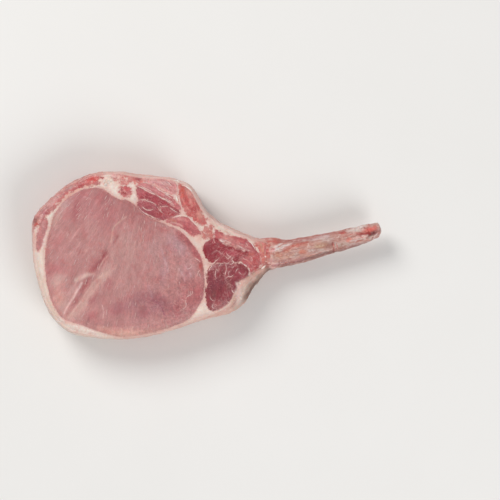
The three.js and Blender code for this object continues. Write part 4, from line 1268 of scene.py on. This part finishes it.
def rib_tone(spots):
    """The colour of the rib under its membrane, and of the meat that runs out onto it."""
    stretched = spots * (0.35, 1, 1)
    tone = np.tile(BONE_PINK, (len(spots), 1))
    blend(tone, BONE_GREY, ease(0.1, 0.7, layered(stretched, 3.0, SEED + 64)))
    blend(tone, MEMBRANE_RED, 0.8 * ease(0.15, 0.8, layered(stretched, 4.0, SEED + 70)))
    across = spots[:, 1] - rib_middle(spots)
    across += 0.8 * layered(stretched, 3.0, SEED + 74)
    marked = tone.copy()
    mark_rib(marked, spots)
    blend(tone, marked, ease(9.0, 13.5, spots[:, 2]))
    beyond_root = ease(38, 46, spots[:, 0])
    # The rib's lower edge is painted darker where it shows from above: painted shade.
    lower_edge_shade = ease(-3.8, -6.0, across) * ease(12.0, 15.5, spots[:, 2])
    upper_edge = ease(4.4, 6.0, across) * ease(11.0, 14.5, spots[:, 2])
    lower_edge_shade *= 0.3 + 0.7 * ease(-0.5, 0.4, layered(stretched, 5.0, SEED + 76))
    blend(tone, LOWER_EDGE_SHADE, 0.75 * lower_edge_shade * beyond_root)
    blend(tone, UPPER_EDGE_RED, 0.6 * upper_edge * (1 - ease(80, 88, spots[:, 0])))
    return tone


def make_bone():
    obj = even_skin("rib_bone_skin", [merged_copy("rib_bone")], BONE_FACE_SIZE)
    skin = Skin(obj)
    skin.smooth(10)
    normals = skin.normals()
    spots = skin.spots
    tone = rib_tone(spots)
    stretched = spots * (0.35, 1, 1)
    middle = rib_middle(spots)
    ridge = 0.35 * np.exp(-(((spots[:, 1] - middle - 2.6) / 1.4) ** 2)) * ease(12, 16, spots[:, 2])
    tip = ease(80, 92, spots[:, 0])
    lift = 0.42 * layered(stretched, 6.0, SEED + 72) + 0.2 * layered(spots * (0.6, 1, 1), 2.0, SEED + 75)
    lift += ridge + tip * 0.4 * layered(spots, 2.6, SEED + 78)
    wrinkle = np.exp(-(((spots[:, 0] - 74.5) / 2.4) ** 2))
    lift -= 0.3 * wrinkle * np.abs(lumps(spots * (1.6, 0.3, 0.3), 1.6, SEED + 79))
    skin.spots = spots + normals * (lift - BONE_SINK)[:, None]
    lower_corner = ease(0.5, -5, spots[:, 1] - middle)
    skin.spots[:, 0] -= 1.7 * lower_corner * ease(94, 101, spots[:, 0])
    skin.keep_in(BONE_BOX[0], BONE_BOX[1])
    skin.write()
    skin.store("tone", tone)
    skin.store("run", np.column_stack([spots[:, 0], spots[:, 1] - middle, spots[:, 2]]))
    skin.store("tip", tip)
    return obj


# ---- Geometry trees --------------------------------------------------------------------------

class Tree:
    """A Geometry Nodes tree built in code, with named inputs."""

    def __init__(self, name, inputs):
        self.group = bpy.data.node_groups.new(name, "GeometryNodeTree")
        face = self.group.interface
        face.new_socket("Geometry", in_out="OUTPUT", socket_type="NodeSocketGeometry")
        face.new_socket("Geometry", in_out="INPUT", socket_type="NodeSocketGeometry")
        for title, kind in inputs.items():
            face.new_socket(title, in_out="INPUT", socket_type="NodeSocket" + kind)
        self.source = self.group.nodes.new("NodeGroupInput")
        self.result = self.group.nodes.new("NodeGroupOutput")

    def given(self, title):
        return self.source.outputs[title]

    def add(self, kind, settings=None, sockets=None):
        """Adds a node: first its settings, then the values or links of its sockets."""
        node = self.group.nodes.new(kind)
        for key, value in (settings or {}).items():
            setattr(node, key, value)
        for key, value in (sockets or {}).items():
            if isinstance(value, bpy.types.NodeSocket):
                self.group.links.new(value, node.inputs[key])
            else:
                node.inputs[key].default_value = value
        return node

    def math(self, kind, *values):
        return self.add("ShaderNodeMath", {"operation": kind}, dict(enumerate(values))).outputs[0]

    def end(self, geometry):
        """Makes the instances real and gives them their finish."""
        real = self.add("GeometryNodeRealizeInstances", None, {"Geometry": geometry})
        smooth = self.add("GeometryNodeSetShadeSmooth", None, {"Geometry": real.outputs[0]})
        painted = self.add(
            "GeometryNodeSetMaterial", None,
            {"Geometry": smooth.outputs[0], "Material": self.given("Finish")},
        )
        self.group.links.new(painted.outputs[0], self.result.inputs["Geometry"])

    def make(self, name, start, values):
        """Runs the tree on a starting mesh or curve and returns the result as a plain object."""
        obj = new_object(name, start)
        grower = obj.modifiers.new(name, "NODES")
        grower.node_group = self.group
        for item in self.group.interface.items_tree:
            if item.in_out == "INPUT" and item.name in values:
                grower[item.identifier] = values[item.name]
        graph = bpy.context.evaluated_depsgraph_get()
        mesh = bpy.data.meshes.new_from_object(obj.evaluated_get(graph))
        bpy.data.objects.remove(obj)
        mesh.name = name
        return new_object(name, mesh)


def grains_tree():
    """Small spindles scattered over a skin, lying along its flow and sunk into it."""
    tree = Tree("grains in the skin", {
        "Finish": "Material", "Seed": "Int", "Per square metre": "Float", "Where": "String",
        "Length": "Float", "Width": "Float", "Height": "Float",
    })
    share = tree.add("GeometryNodeInputNamedAttribute", {"data_type": "FLOAT"}, {
        "Name": tree.given("Where"),
    })
    spread = tree.add("GeometryNodeDistributePointsOnFaces", {"distribute_method": "RANDOM"}, {
        "Mesh": tree.given("Geometry"), "Seed": tree.given("Seed"),
        "Density": tree.math("MULTIPLY", share.outputs[0], tree.given("Per square metre")),
    })
    flow = tree.add("GeometryNodeInputNamedAttribute", {"data_type": "FLOAT_VECTOR"}, {"Name": "flow"})
    stray = tree.add("FunctionNodeRandomValue", {"data_type": "FLOAT_VECTOR"}, {
        0: (-0.018, -0.018, 0), 1: (0.018, 0.018, 0), "Seed": 3,
    })
    heading = tree.add("ShaderNodeVectorMath", {"operation": "ADD"}, {
        0: flow.outputs[0], 1: tree.add("ShaderNodeVectorMath", {"operation": "SCALE"}, {
            0: stray.outputs[0], "Scale": 1000.0,
        }).outputs[0],
    })
    turned = tree.add("FunctionNodeAlignRotationToVector", {"axis": "X", "pivot_axis": "Z"}, {
        "Rotation": spread.outputs["Rotation"], "Vector": heading.outputs[0],
    })
    chance = tree.add("FunctionNodeRandomValue", {"data_type": "FLOAT"}, {2: 0.35, 3: 1.3, "Seed": 5})
    breadth = tree.add("FunctionNodeRandomValue", {"data_type": "FLOAT"}, {2: 0.6, 3: 1.25, "Seed": 6})
    size = tree.add("ShaderNodeCombineXYZ", None, {
        "X": tree.math("MULTIPLY", tree.given("Length"), chance.outputs[1]),
        "Y": tree.math("MULTIPLY", tree.given("Width"), breadth.outputs[1]),
        "Z": tree.given("Height"),
    })
    ball = tree.add("GeometryNodeMeshIcoSphere", None, {"Radius": 1.0, "Subdivisions": 2})
    placed = tree.add("GeometryNodeInstanceOnPoints", None, {
        "Points": spread.outputs["Points"], "Instance": ball.outputs["Mesh"],
        "Rotation": turned.outputs[0], "Scale": size.outputs[0],
    })
    tree.end(placed.outputs[0])
    return tree


def threads_tree():
    """Curves drawn from above, dropped onto a skin, made wavy and sunk in as tapered threads."""
    tree = Tree("threads on the skin", {
        "Finish": "Material", "Skin": "Object", "Wander": "Float", "Sink": "Float",
    })
    fine = tree.add("GeometryNodeResampleCurve", {"mode": "LENGTH"}, {
        "Curve": tree.given("Geometry"), "Length": 0.45 * MM,
    })
    noise = tree.add("ShaderNodeTexNoise", {"noise_dimensions": "3D"}, {
        "Scale": 800.0, "Detail": 3.0, "Roughness": 0.7,
    })
    centred = tree.add("ShaderNodeVectorMath", {"operation": "SUBTRACT"}, {
        0: noise.outputs["Color"], 1: (0.5, 0.5, 0.5),
    })
    stray = tree.add("ShaderNodeVectorMath", {"operation": "SCALE"}, {
        0: centred.outputs[0], "Scale": tree.given("Wander"),
    })
    wavy = tree.add("GeometryNodeSetPosition", None, {
        "Geometry": fine.outputs[0], "Offset": stray.outputs[0],
    })
    skin = tree.add("GeometryNodeObjectInfo", None, {"Object": tree.given("Skin")})
    here = tree.add("GeometryNodeInputPosition")
    high = tree.add("ShaderNodeVectorMath", {"operation": "ADD"}, {0: here.outputs[0], 1: (0, 0, 0.05)})
    drop = tree.add("GeometryNodeRaycast", None, {
        "Target Geometry": skin.outputs["Geometry"], "Source Position": high.outputs[0],
        "Ray Direction": (0, 0, -1), "Ray Length": 0.2,
    })
    uneven = tree.add("ShaderNodeTexNoise", {"noise_dimensions": "3D"}, {"Scale": 330.0, "Detail": 2.0})
    share = tree.math("MULTIPLY_ADD", uneven.outputs["Fac"], 2.6, -0.35)
    radius = tree.add("GeometryNodeInputRadius")
    width = tree.math("MULTIPLY", radius.outputs[0], tree.math("MAXIMUM", share, 0.25))
    depth = tree.math("MULTIPLY", radius.outputs[0], tree.given("Sink"))
    under = tree.add("ShaderNodeCombineXYZ", None, {"Z": tree.math("MULTIPLY", depth, -1.0)})
    laid = tree.add("GeometryNodeSetPosition", None, {
        "Geometry": wavy.outputs[0], "Selection": drop.outputs["Is Hit"],
        "Position": drop.outputs["Hit Position"], "Offset": under.outputs[0],
    })
    ring = tree.add("GeometryNodeCurvePrimitiveCircle", {"mode": "RADIUS"}, {"Resolution": 8, "Radius": 1.0})
    tube = tree.add("GeometryNodeCurveToMesh", None, {
        "Curve": laid.outputs[0], "Profile Curve": ring.outputs["Curve"], "Fill Caps": True,
        "Scale": width,
    })
    tree.end(tube.outputs[0])
    return tree


def thread_curves(name, threads):
    """Open curves with a radius that tapers to both ends, in metres."""
    curves = bpy.data.curves.new(name, "CURVE")
    curves.dimensions = "3D"
    for half_width, points in threads:
        path = smooth_path(points, gap=1.0)
        spline = curves.splines.new("POLY")
        spline.points.add(len(path) - 1)
        for number, (point, spot) in enumerate(zip(spline.points, path)):
            part = number / (len(path) - 1)
            point.co = (*(spot * MM), 0, 1)
            point.radius = half_width * MM * (0.18 + 0.82 * math.sin(math.pi * part) ** 0.6)
    return curves


# ---- Finishes --------------------------------------------------------------------------------

class Wire:
    """A number coming out of a shader node, which can be used in sums."""

    def __init__(self, finish, socket):
        self.finish = finish
        self.socket = socket

    def sum(self, kind, first, second):
        return self.finish.node("ShaderNodeMath", {"operation": kind}, {0: first, 1: second})

    def __add__(self, other):
        return self.sum("ADD", self, other)

    def __sub__(self, other):
        return self.sum("SUBTRACT", self, other)

    def __mul__(self, other):
        return self.sum("MULTIPLY", self, other)

    def __abs__(self):
        return self.finish.node("ShaderNodeMath", {"operation": "ABSOLUTE"}, {0: self})

    def __rsub__(self, other):
        return self.sum("SUBTRACT", other, self)

    __radd__ = __add__
    __rmul__ = __mul__


class Finish:
    """A material made in code."""

    def __init__(self, name, **constants):
        self.material = bpy.data.materials.new(name)
        self.material.use_nodes = True
        self.tree = self.material.node_tree
        self.shader = self.tree.nodes["Principled BSDF"]
        for title, value in constants.items():
            socket = title.replace("_", " ").title().replace("Ior", "IOR")
            self.shader.inputs[socket].default_value = value

    def link(self, value, socket):
        if isinstance(value, Wire):
            self.tree.links.new(value.socket, socket)
        elif socket.type == "RGBA" and len(value) == 3:
            socket.default_value = (*map(float, value), 1)
        else:
            socket.default_value = value

    def node(self, kind, settings=None, sockets=None, out=0):
        """Adds a node: its settings first, then the values or links of its sockets."""
        node = self.tree.nodes.new(kind)
        for key, value in (settings or {}).items():
            setattr(node, key, value)
        for key, value in (sockets or {}).items():
            self.link(value, node.inputs[key])
        return Wire(self, node.outputs[out])

    def place(self):
        return self.node("ShaderNodeTexCoord", out="Object")

    def kept(self, name, out="Fac"):
        return self.node("ShaderNodeAttribute", {"attribute_name": name}, out=out)

    def stretched(self, vector, scale):
        return self.node("ShaderNodeVectorMath", {"operation": "MULTIPLY"}, {0: vector, 1: scale})

    def noise(self, vector, scale, detail=3.0, roughness=0.55, distortion=0.0):
        return self.node("ShaderNodeTexNoise", None, {
            "Vector": vector, "Scale": scale, "Detail": detail, "Roughness": roughness,
            "Distortion": distortion,
        })

    def cells(self, vector, scale):
        """The distance to the walls between random cells."""
        settings = {"feature": "DISTANCE_TO_EDGE"}
        return self.node("ShaderNodeTexVoronoi", settings, {"Vector": vector, "Scale": scale})

    def step(self, value, low, high):
        """0 below low, 1 above high, smooth between them."""
        return self.node("ShaderNodeMapRange", {"interpolation_type": "SMOOTHSTEP"}, {
            "Value": value, "From Min": low, "From Max": high,
        })

    def mix(self, factor, first, second, blend="MIX"):
        settings = {"data_type": "RGBA", "blend_type": blend}
        return self.node("ShaderNodeMix", settings, {0: factor, 6: first, 7: second}, out=2)

    def bump(self, height, distance, strength):
        sockets = {"Height": height, "Distance": distance, "Strength": strength}
        return self.node("ShaderNodeBump", None, sockets)

    def feed(self, **wires):
        for title, wire in wires.items():
            self.link(wire, self.shader.inputs[title.replace("_", " ").title()])
        return self.material


WET_FLESH = {
    "ior": 1.38, "subsurface_weight": 0.22, "subsurface_radius": (1.0, 0.35, 0.22),
    "subsurface_scale": 1.6 * MM, "coat_roughness": 0.22, "coat_ior": 1.35,
}


def meat_finish():
    """Moist lean with fibres and marbling, and creamy fat where the skin is fat."""
    finish = Finish("moist pork", **WET_FLESH)
    place, grain = finish.place(), finish.kept("grain", "Vector")
    mottle, eye, curly = finish.kept("mottle"), finish.kept("eye"), finish.kept("curly")

    # Where the fat begins: the kept distance, frayed by noise, more so where it is mottled.
    fray = finish.noise(place, 1100, 4, 0.65) - 0.5
    blots = finish.noise(place, 380, 4, 0.62, 0.4) - 0.5
    depth = finish.kept("edge") + fray * (1.5 + mottle * 1.0) + blots * mottle * 5.5
    soft = 0.3 + mottle * 0.22
    fat_part = finish.node("ShaderNodeMapRange", {"interpolation_type": "SMOOTHSTEP"}, {
        "Value": depth, "From Min": soft * -1.0, "From Max": soft,
    })
    beside_lean = 1 - finish.step(depth, 0.1, 1.5)

    # Lean: bundles of fibres of uneven tone, thin pale walls between them, and marbling.
    fibre = finish.step(finish.noise(finish.stretched(grain, (0.2, 1.3, 0.6)), 1, 4, 0.6, 0.3), 0.34, 0.66)
    fine = finish.noise(finish.stretched(grain, (0.7, 3.6, 1.6)), 1, 3, 0.6) - 0.5
    clump = finish.noise(finish.stretched(grain, (0.09, 0.34, 0.2)), 1, 3, 0.55) - 0.5
    rows = finish.stretched(grain, (0.24, 0.8, 0.4))
    bundle = finish.node("ShaderNodeTexVoronoi", None, {"Vector": rows, "Scale": 1.0}, "Color")
    walls = 1 - finish.step(finish.cells(rows, 1.0), 0.0, 0.10)
    streak = finish.step(finish.noise(finish.stretched(grain, (0.16, 1.5, 0.5)), 1, 5, 0.7, 0.6), 0.57, 0.70)
    patchy = finish.step(finish.noise(place, 90, 3, 0.5), 0.40, 0.62)
    grit = finish.noise(place, 1000, 4, 0.68, 0.3) - 0.5
    smoother = 1 - curly * 0.5
    shade = 0.84 + (fibre * 0.12 + fine * 0.5 + bundle * 0.14) * smoother + clump * 0.4
    net = finish.step(finish.noise(place, 420, 4, 0.7, 0.5), 0.42, 0.62) - 0.5
    shade = shade + curly * (grit * 0.7 + net * 0.2 + 0.08)
    lean = finish.node("ShaderNodeVectorMath", {"operation": "SCALE"}, {
        0: finish.kept("lean", "Color"), "Scale": shade,
    })
    rosy = finish.step(finish.noise(place, 260, 4, 0.6), 0.46, 0.64)
    lean = finish.mix(rosy * (0.25 + mottle * 0.25), lean, LEAN_TONES["rosy_tint"], "MULTIPLY")
    lean = finish.mix(walls * patchy * 0.22, lean, LEAN_TONES["fibre_wall"])
    streaked = streak * (0.18 + patchy * 0.25) * (1 - curly * 0.75)
    lean = finish.mix(streaked, lean, LEAN_TONES["streak"])
    deep = finish.step(finish.noise(place, 130, 3, 0.5), 0.5, 0.68)
    lean = finish.mix(deep * 0.35, lean, LEAN_TONES["deep_tint"], "MULTIPLY")

    # Fine pale sinew that curls through the lean, and pale speckles.
    curl = abs(finish.noise(place, 300, 3, 0.55, 1.1) - 0.5)
    curl = (1 - finish.step(curl, 0.004, 0.024)) * finish.step(finish.noise(place, 150, 2), 0.47, 0.58)
    lean = finish.mix(curl * curly * (0.5 - eye * 0.15), lean, LEAN_TONES["sinew"])
    speckle = finish.step(finish.noise(finish.stretched(place, (900, 620, 700)), 1, 4, 0.7), 0.54, 0.68)
    lean = finish.mix(speckle * curly * 0.2, lean, LEAN_TONES["speckle"])

    # Fat: creamy, pinker beside the lean, clouded, grainy, with a few fine red vessels.
    # The overlays leave out the darkest fat, which keeps the tone it was painted.
    cloud = finish.noise(place, 240, 4, 0.62)
    painted = finish.kept("fat", "Color")
    clear = finish.step(finish.node("ShaderNodeRGBToBW", None, {0: painted}), 0.12, 0.42)
    pale = finish.step(finish.noise(place, 130, 3), 0.5, 0.7)
    fat = finish.mix(beside_lean * clear * 0.5, painted, FAT_TONES["beside_lean"])
    fat = finish.mix(finish.step(cloud, 0.46, 0.68) * clear * 0.5, fat, FAT_TONES["pink_cloud"])
    fat = finish.mix(pale * clear * 0.45, fat, FAT_TONES["pale_cloud"])
    winding = abs(finish.noise(place, 170, 3, 0.5, 1.0) - 0.5)
    vessel = (1 - finish.step(winding, 0.003, 0.012)) * finish.step(finish.noise(place, 70, 2), 0.5, 0.58)
    fat = finish.mix(vessel * 0.6, fat, FAT_TONES["vessel"])
    grainy = finish.cells(place, 1000 / FAT_GRAIN)
    fat = finish.mix((1 - finish.step(grainy, 0.0, 0.10)) * 0.2, fat, FAT_TONES["between_grains"])

    colour = finish.mix(fat_part, lean, fat)
    wet = finish.noise(place, 120, 3, 0.55)
    rough = 0.40 - finish.step(wet, 0.4, 0.7) * 0.12 + fat_part * 0.05 + fine * 0.1
    height = fibre * 0.35 + fine * 0.8 + bundle * 0.25 - walls * 0.12
    height = height * (1 - fat_part) + (finish.step(grainy, 0, 0.3) * 0.3 + cloud * 0.6) * fat_part
    height = height + finish.noise(place, 1400, 3) * 0.25
    coat = 0.12 + finish.step(wet, 0.45, 0.7) * 0.3 + eye * 0.04
    return finish.feed(
        base_color=colour, roughness=rough, coat_weight=coat, normal=finish.bump(height, 0.25 * MM, 0.8),
    )


def bone_finish():
    """Rib under a moist membrane, streaked along its length and mottled with blood."""
    finish = Finish("rib under membrane", **{**WET_FLESH, "subsurface_scale": 0.9 * MM})
    place, run = finish.place(), finish.kept("run", "Vector")
    tip = finish.kept("tip")
    streaks = finish.noise(finish.stretched(run, (0.14, 1.0, 1.0)), 1, 5, 0.65, 0.6)
    threads = finish.noise(finish.stretched(run, (0.3, 2.6, 2.6)), 1, 4, 0.6, 0.4)
    clouds = finish.noise(place, 330, 5, 0.7, 0.5)
    # Pale specks: painted glints on the wet membrane.
    glint_specks = finish.step(finish.noise(place, 620, 4, 0.7), 0.57, 0.66)
    shaft = 1 - tip * 0.75
    pits = 1 - finish.step(finish.noise(place, 560, 4, 0.7, 0.3), 0.36, 0.43)
    colour = finish.kept("tone", "Color")
    for tone, share in {
        "pale_streak": finish.step(streaks, 0.54, 0.68) * shaft * 0.32,
        "red_streak": (1 - finish.step(streaks, 0.33, 0.45)) * 0.42,
        "pale_thread": finish.step(threads, 0.56, 0.66) * shaft * 0.32,
        "red_thread": (1 - finish.step(threads, 0.38, 0.46)) * 0.5,
        "tan_cloud": finish.step(clouds, 0.56, 0.68) * shaft * 0.3,
        "blood_cloud": (1 - finish.step(clouds, 0.34, 0.44)) * (0.34 + tip * 0.4),
        "speck": glint_specks * (0.5 - tip * 0.38),
        "pit": pits * 0.4,
    }.items():
        colour = finish.mix(share, colour, BONE_TONES[tone])
    height = streaks * 0.9 + threads * 0.7 + clouds * 0.5 + finish.noise(place, 1100, 4, 0.6) * 0.3
    wet = finish.noise(place, 190, 3)
    return finish.feed(
        base_color=colour, roughness=0.42 - finish.step(wet, 0.4, 0.7) * 0.14,
        coat_weight=0.12 + finish.step(wet, 0.45, 0.7) * 0.3, normal=finish.bump(height, 0.5 * MM, 1.0),
    )


def sinew_finish(name):
    """Thin pale connective tissue, clouded between two tones."""
    finish = Finish(name, **WET_FLESH)
    place = finish.place()
    clouds = finish.noise(place, 420, 4, 0.6)
    colour = finish.mix(finish.step(clouds, 0.35, 0.7), *SINEW_TONES[name])
    return finish.feed(
        base_color=colour, roughness=0.32 + clouds * 0.16, coat_weight=0.12 + clouds * 0.2,
        normal=finish.bump(finish.noise(place, 1500, 3), 0.1 * MM, 0.6),
    )


def floor_finish():
    """A pale matt table top with a faint uneven tone."""
    finish = Finish("pale table", ior=1.45)
    place = finish.place()
    clouds = finish.noise(place, 6, 4, 0.6)
    colour = finish.mix(clouds, rgb(232, 230, 226), rgb(238, 236, 233))
    return finish.feed(
        base_color=colour, roughness=0.62 + clouds * 0.1,
        normal=finish.bump(finish.noise(place, 600, 3), 0.05 * MM, 0.3),
    )


# ---- Setting the scene -----------------------------------------------------------------------

def add_piece(obj, finish=None, replaces=None):
    """Fixes a finished piece to the chop's one body."""
    if finish is not None:
        obj.data.materials.clear()
        obj.data.materials.append(finish)
    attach(obj, "root")
    if replaces:
        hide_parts(replaces)


def add_floor():
    half = 3.0  # in metres, as the lights and the camera are
    mesh = bpy.data.meshes.new("table_top")
    corners = [(-half, -half, 0), (half, -half, 0), (half, half, 0), (-half, half, 0)]
    mesh.from_pydata(corners, [], [(0, 1, 2, 3)])
    mesh.materials.append(floor_finish())
    floor = new_object("table_top", mesh)


def add_light(name, place, target, size, power, colour):
    data = bpy.data.lights.new(name, "AREA")
    data.shape = "DISK"
    data.size = size
    data.energy = power
    data.color = colour
    lamp = bpy.data.objects.new(name, data)
    bpy.context.scene.collection.objects.link(lamp)
    lamp.location = place
    lamp.visible_camera = False
    lamp.rotation_euler = (Vector(target) - Vector(place)).to_track_quat("-Z", "Y").to_euler()


def add_lights():
    target = (0, 0, 0.01)
    add_light("key_softbox", (-0.80, 0.95, 1.20), target, 0.9, 17, (1.0, 0.99, 0.975))
    add_light("fill_softbox", (0.85, -1.0, 1.05), target, 1.1, 13, (0.985, 0.99, 1.0))
    world = bpy.data.worlds.new("studio")
    world.use_nodes = True
    background = world.node_tree.nodes["Background"]
    background.inputs["Color"].default_value = (0.93, 0.94, 0.96, 1)
    background.inputs["Strength"].default_value = 0.42
    bpy.context.scene.world = world


def add_camera():
    """Straight above, with the chop left of the middle and the rib reaching to the right."""
    lens = 300.0
    sensor = 36.0
    field = 0.290
    middle = Vector((24.9 * MM, 3.2 * MM, 0))
    data = bpy.data.cameras.new("camera")
    data.lens = lens
    data.sensor_width = sensor
    camera = bpy.data.objects.new("camera", data)
    bpy.context.scene.collection.objects.link(camera)
    camera.location = middle + Vector((0, 0, FACE_HEIGHT * MM + field * lens / sensor))
    data.clip_start = 0.01
    data.clip_end = 20
    bpy.context.scene.camera = camera


def add_threads(meat, bone):
    """Lays the sinew and the shreds of meat and membrane on the two skins."""
    threads = threads_tree()
    pale_sinew = sinew_finish("pale sinew")
    white_sinew_and_glints = sinew_finish("white sinew and glints")
    shreds = sinew_finish("pink shreds")
    for name, lines, finish, skin, slot, wander, sink in (
        ("sinew_threads", FACE_THREADS, pale_sinew, meat, "meat", 1.3, 0.66),
        # Near-white threads: sinew, and painted glints such as the wet highlight at the neck.
        ("bright_sinew", SINEW_AND_GLINT_THREADS, white_sinew_and_glints, meat, "meat", 0.6, 0.45),
        ("neck_shreds", NECK_SHREDS, shreds, meat, "meat", 1.2, 0.5),
        ("rib_shreds", ROOT_SHREDS, shreds, bone, "bone", 1.2, 0.5),
    ):
        values = {"Finish": finish, "Skin": skin, "Wander": wander * MM, "Sink": sink}
        add_piece(threads.make(name, thread_curves(name, lines), values))


def add_grains(meat):
    """Scatters marbling over the eye and grains over the fat."""
    grains = grains_tree()
    add_piece(grains.make("marbling_flecks", meat.data, {
        "Finish": sinew_finish("marbling"), "Seed": SEED, "Where": "fleck",
        "Per square metre": 2.3e4, "Length": 1.7 * MM, "Width": 0.20 * MM, "Height": 0.10 * MM,
    }))
    add_piece(grains.make("fat_beads", meat.data, {
        "Finish": sinew_finish("soft fat"), "Seed": SEED + 1, "Where": "bead",
        "Per square metre": 4.0e5, "Length": 0.8 * MM, "Width": 0.75 * MM, "Height": 0.45 * MM,
    }))


def main():
    add_camera()
    add_lights()
    add_floor()
    meat = make_meat()
    add_piece(meat, meat_finish(), "chop_meat")
    bone = make_bone()
    add_piece(bone, bone_finish(), "rib_bone")
    add_threads(meat, bone)
    add_grains(meat)


main()
bpy.context.scene.view_settings.view_transform = "Standard"
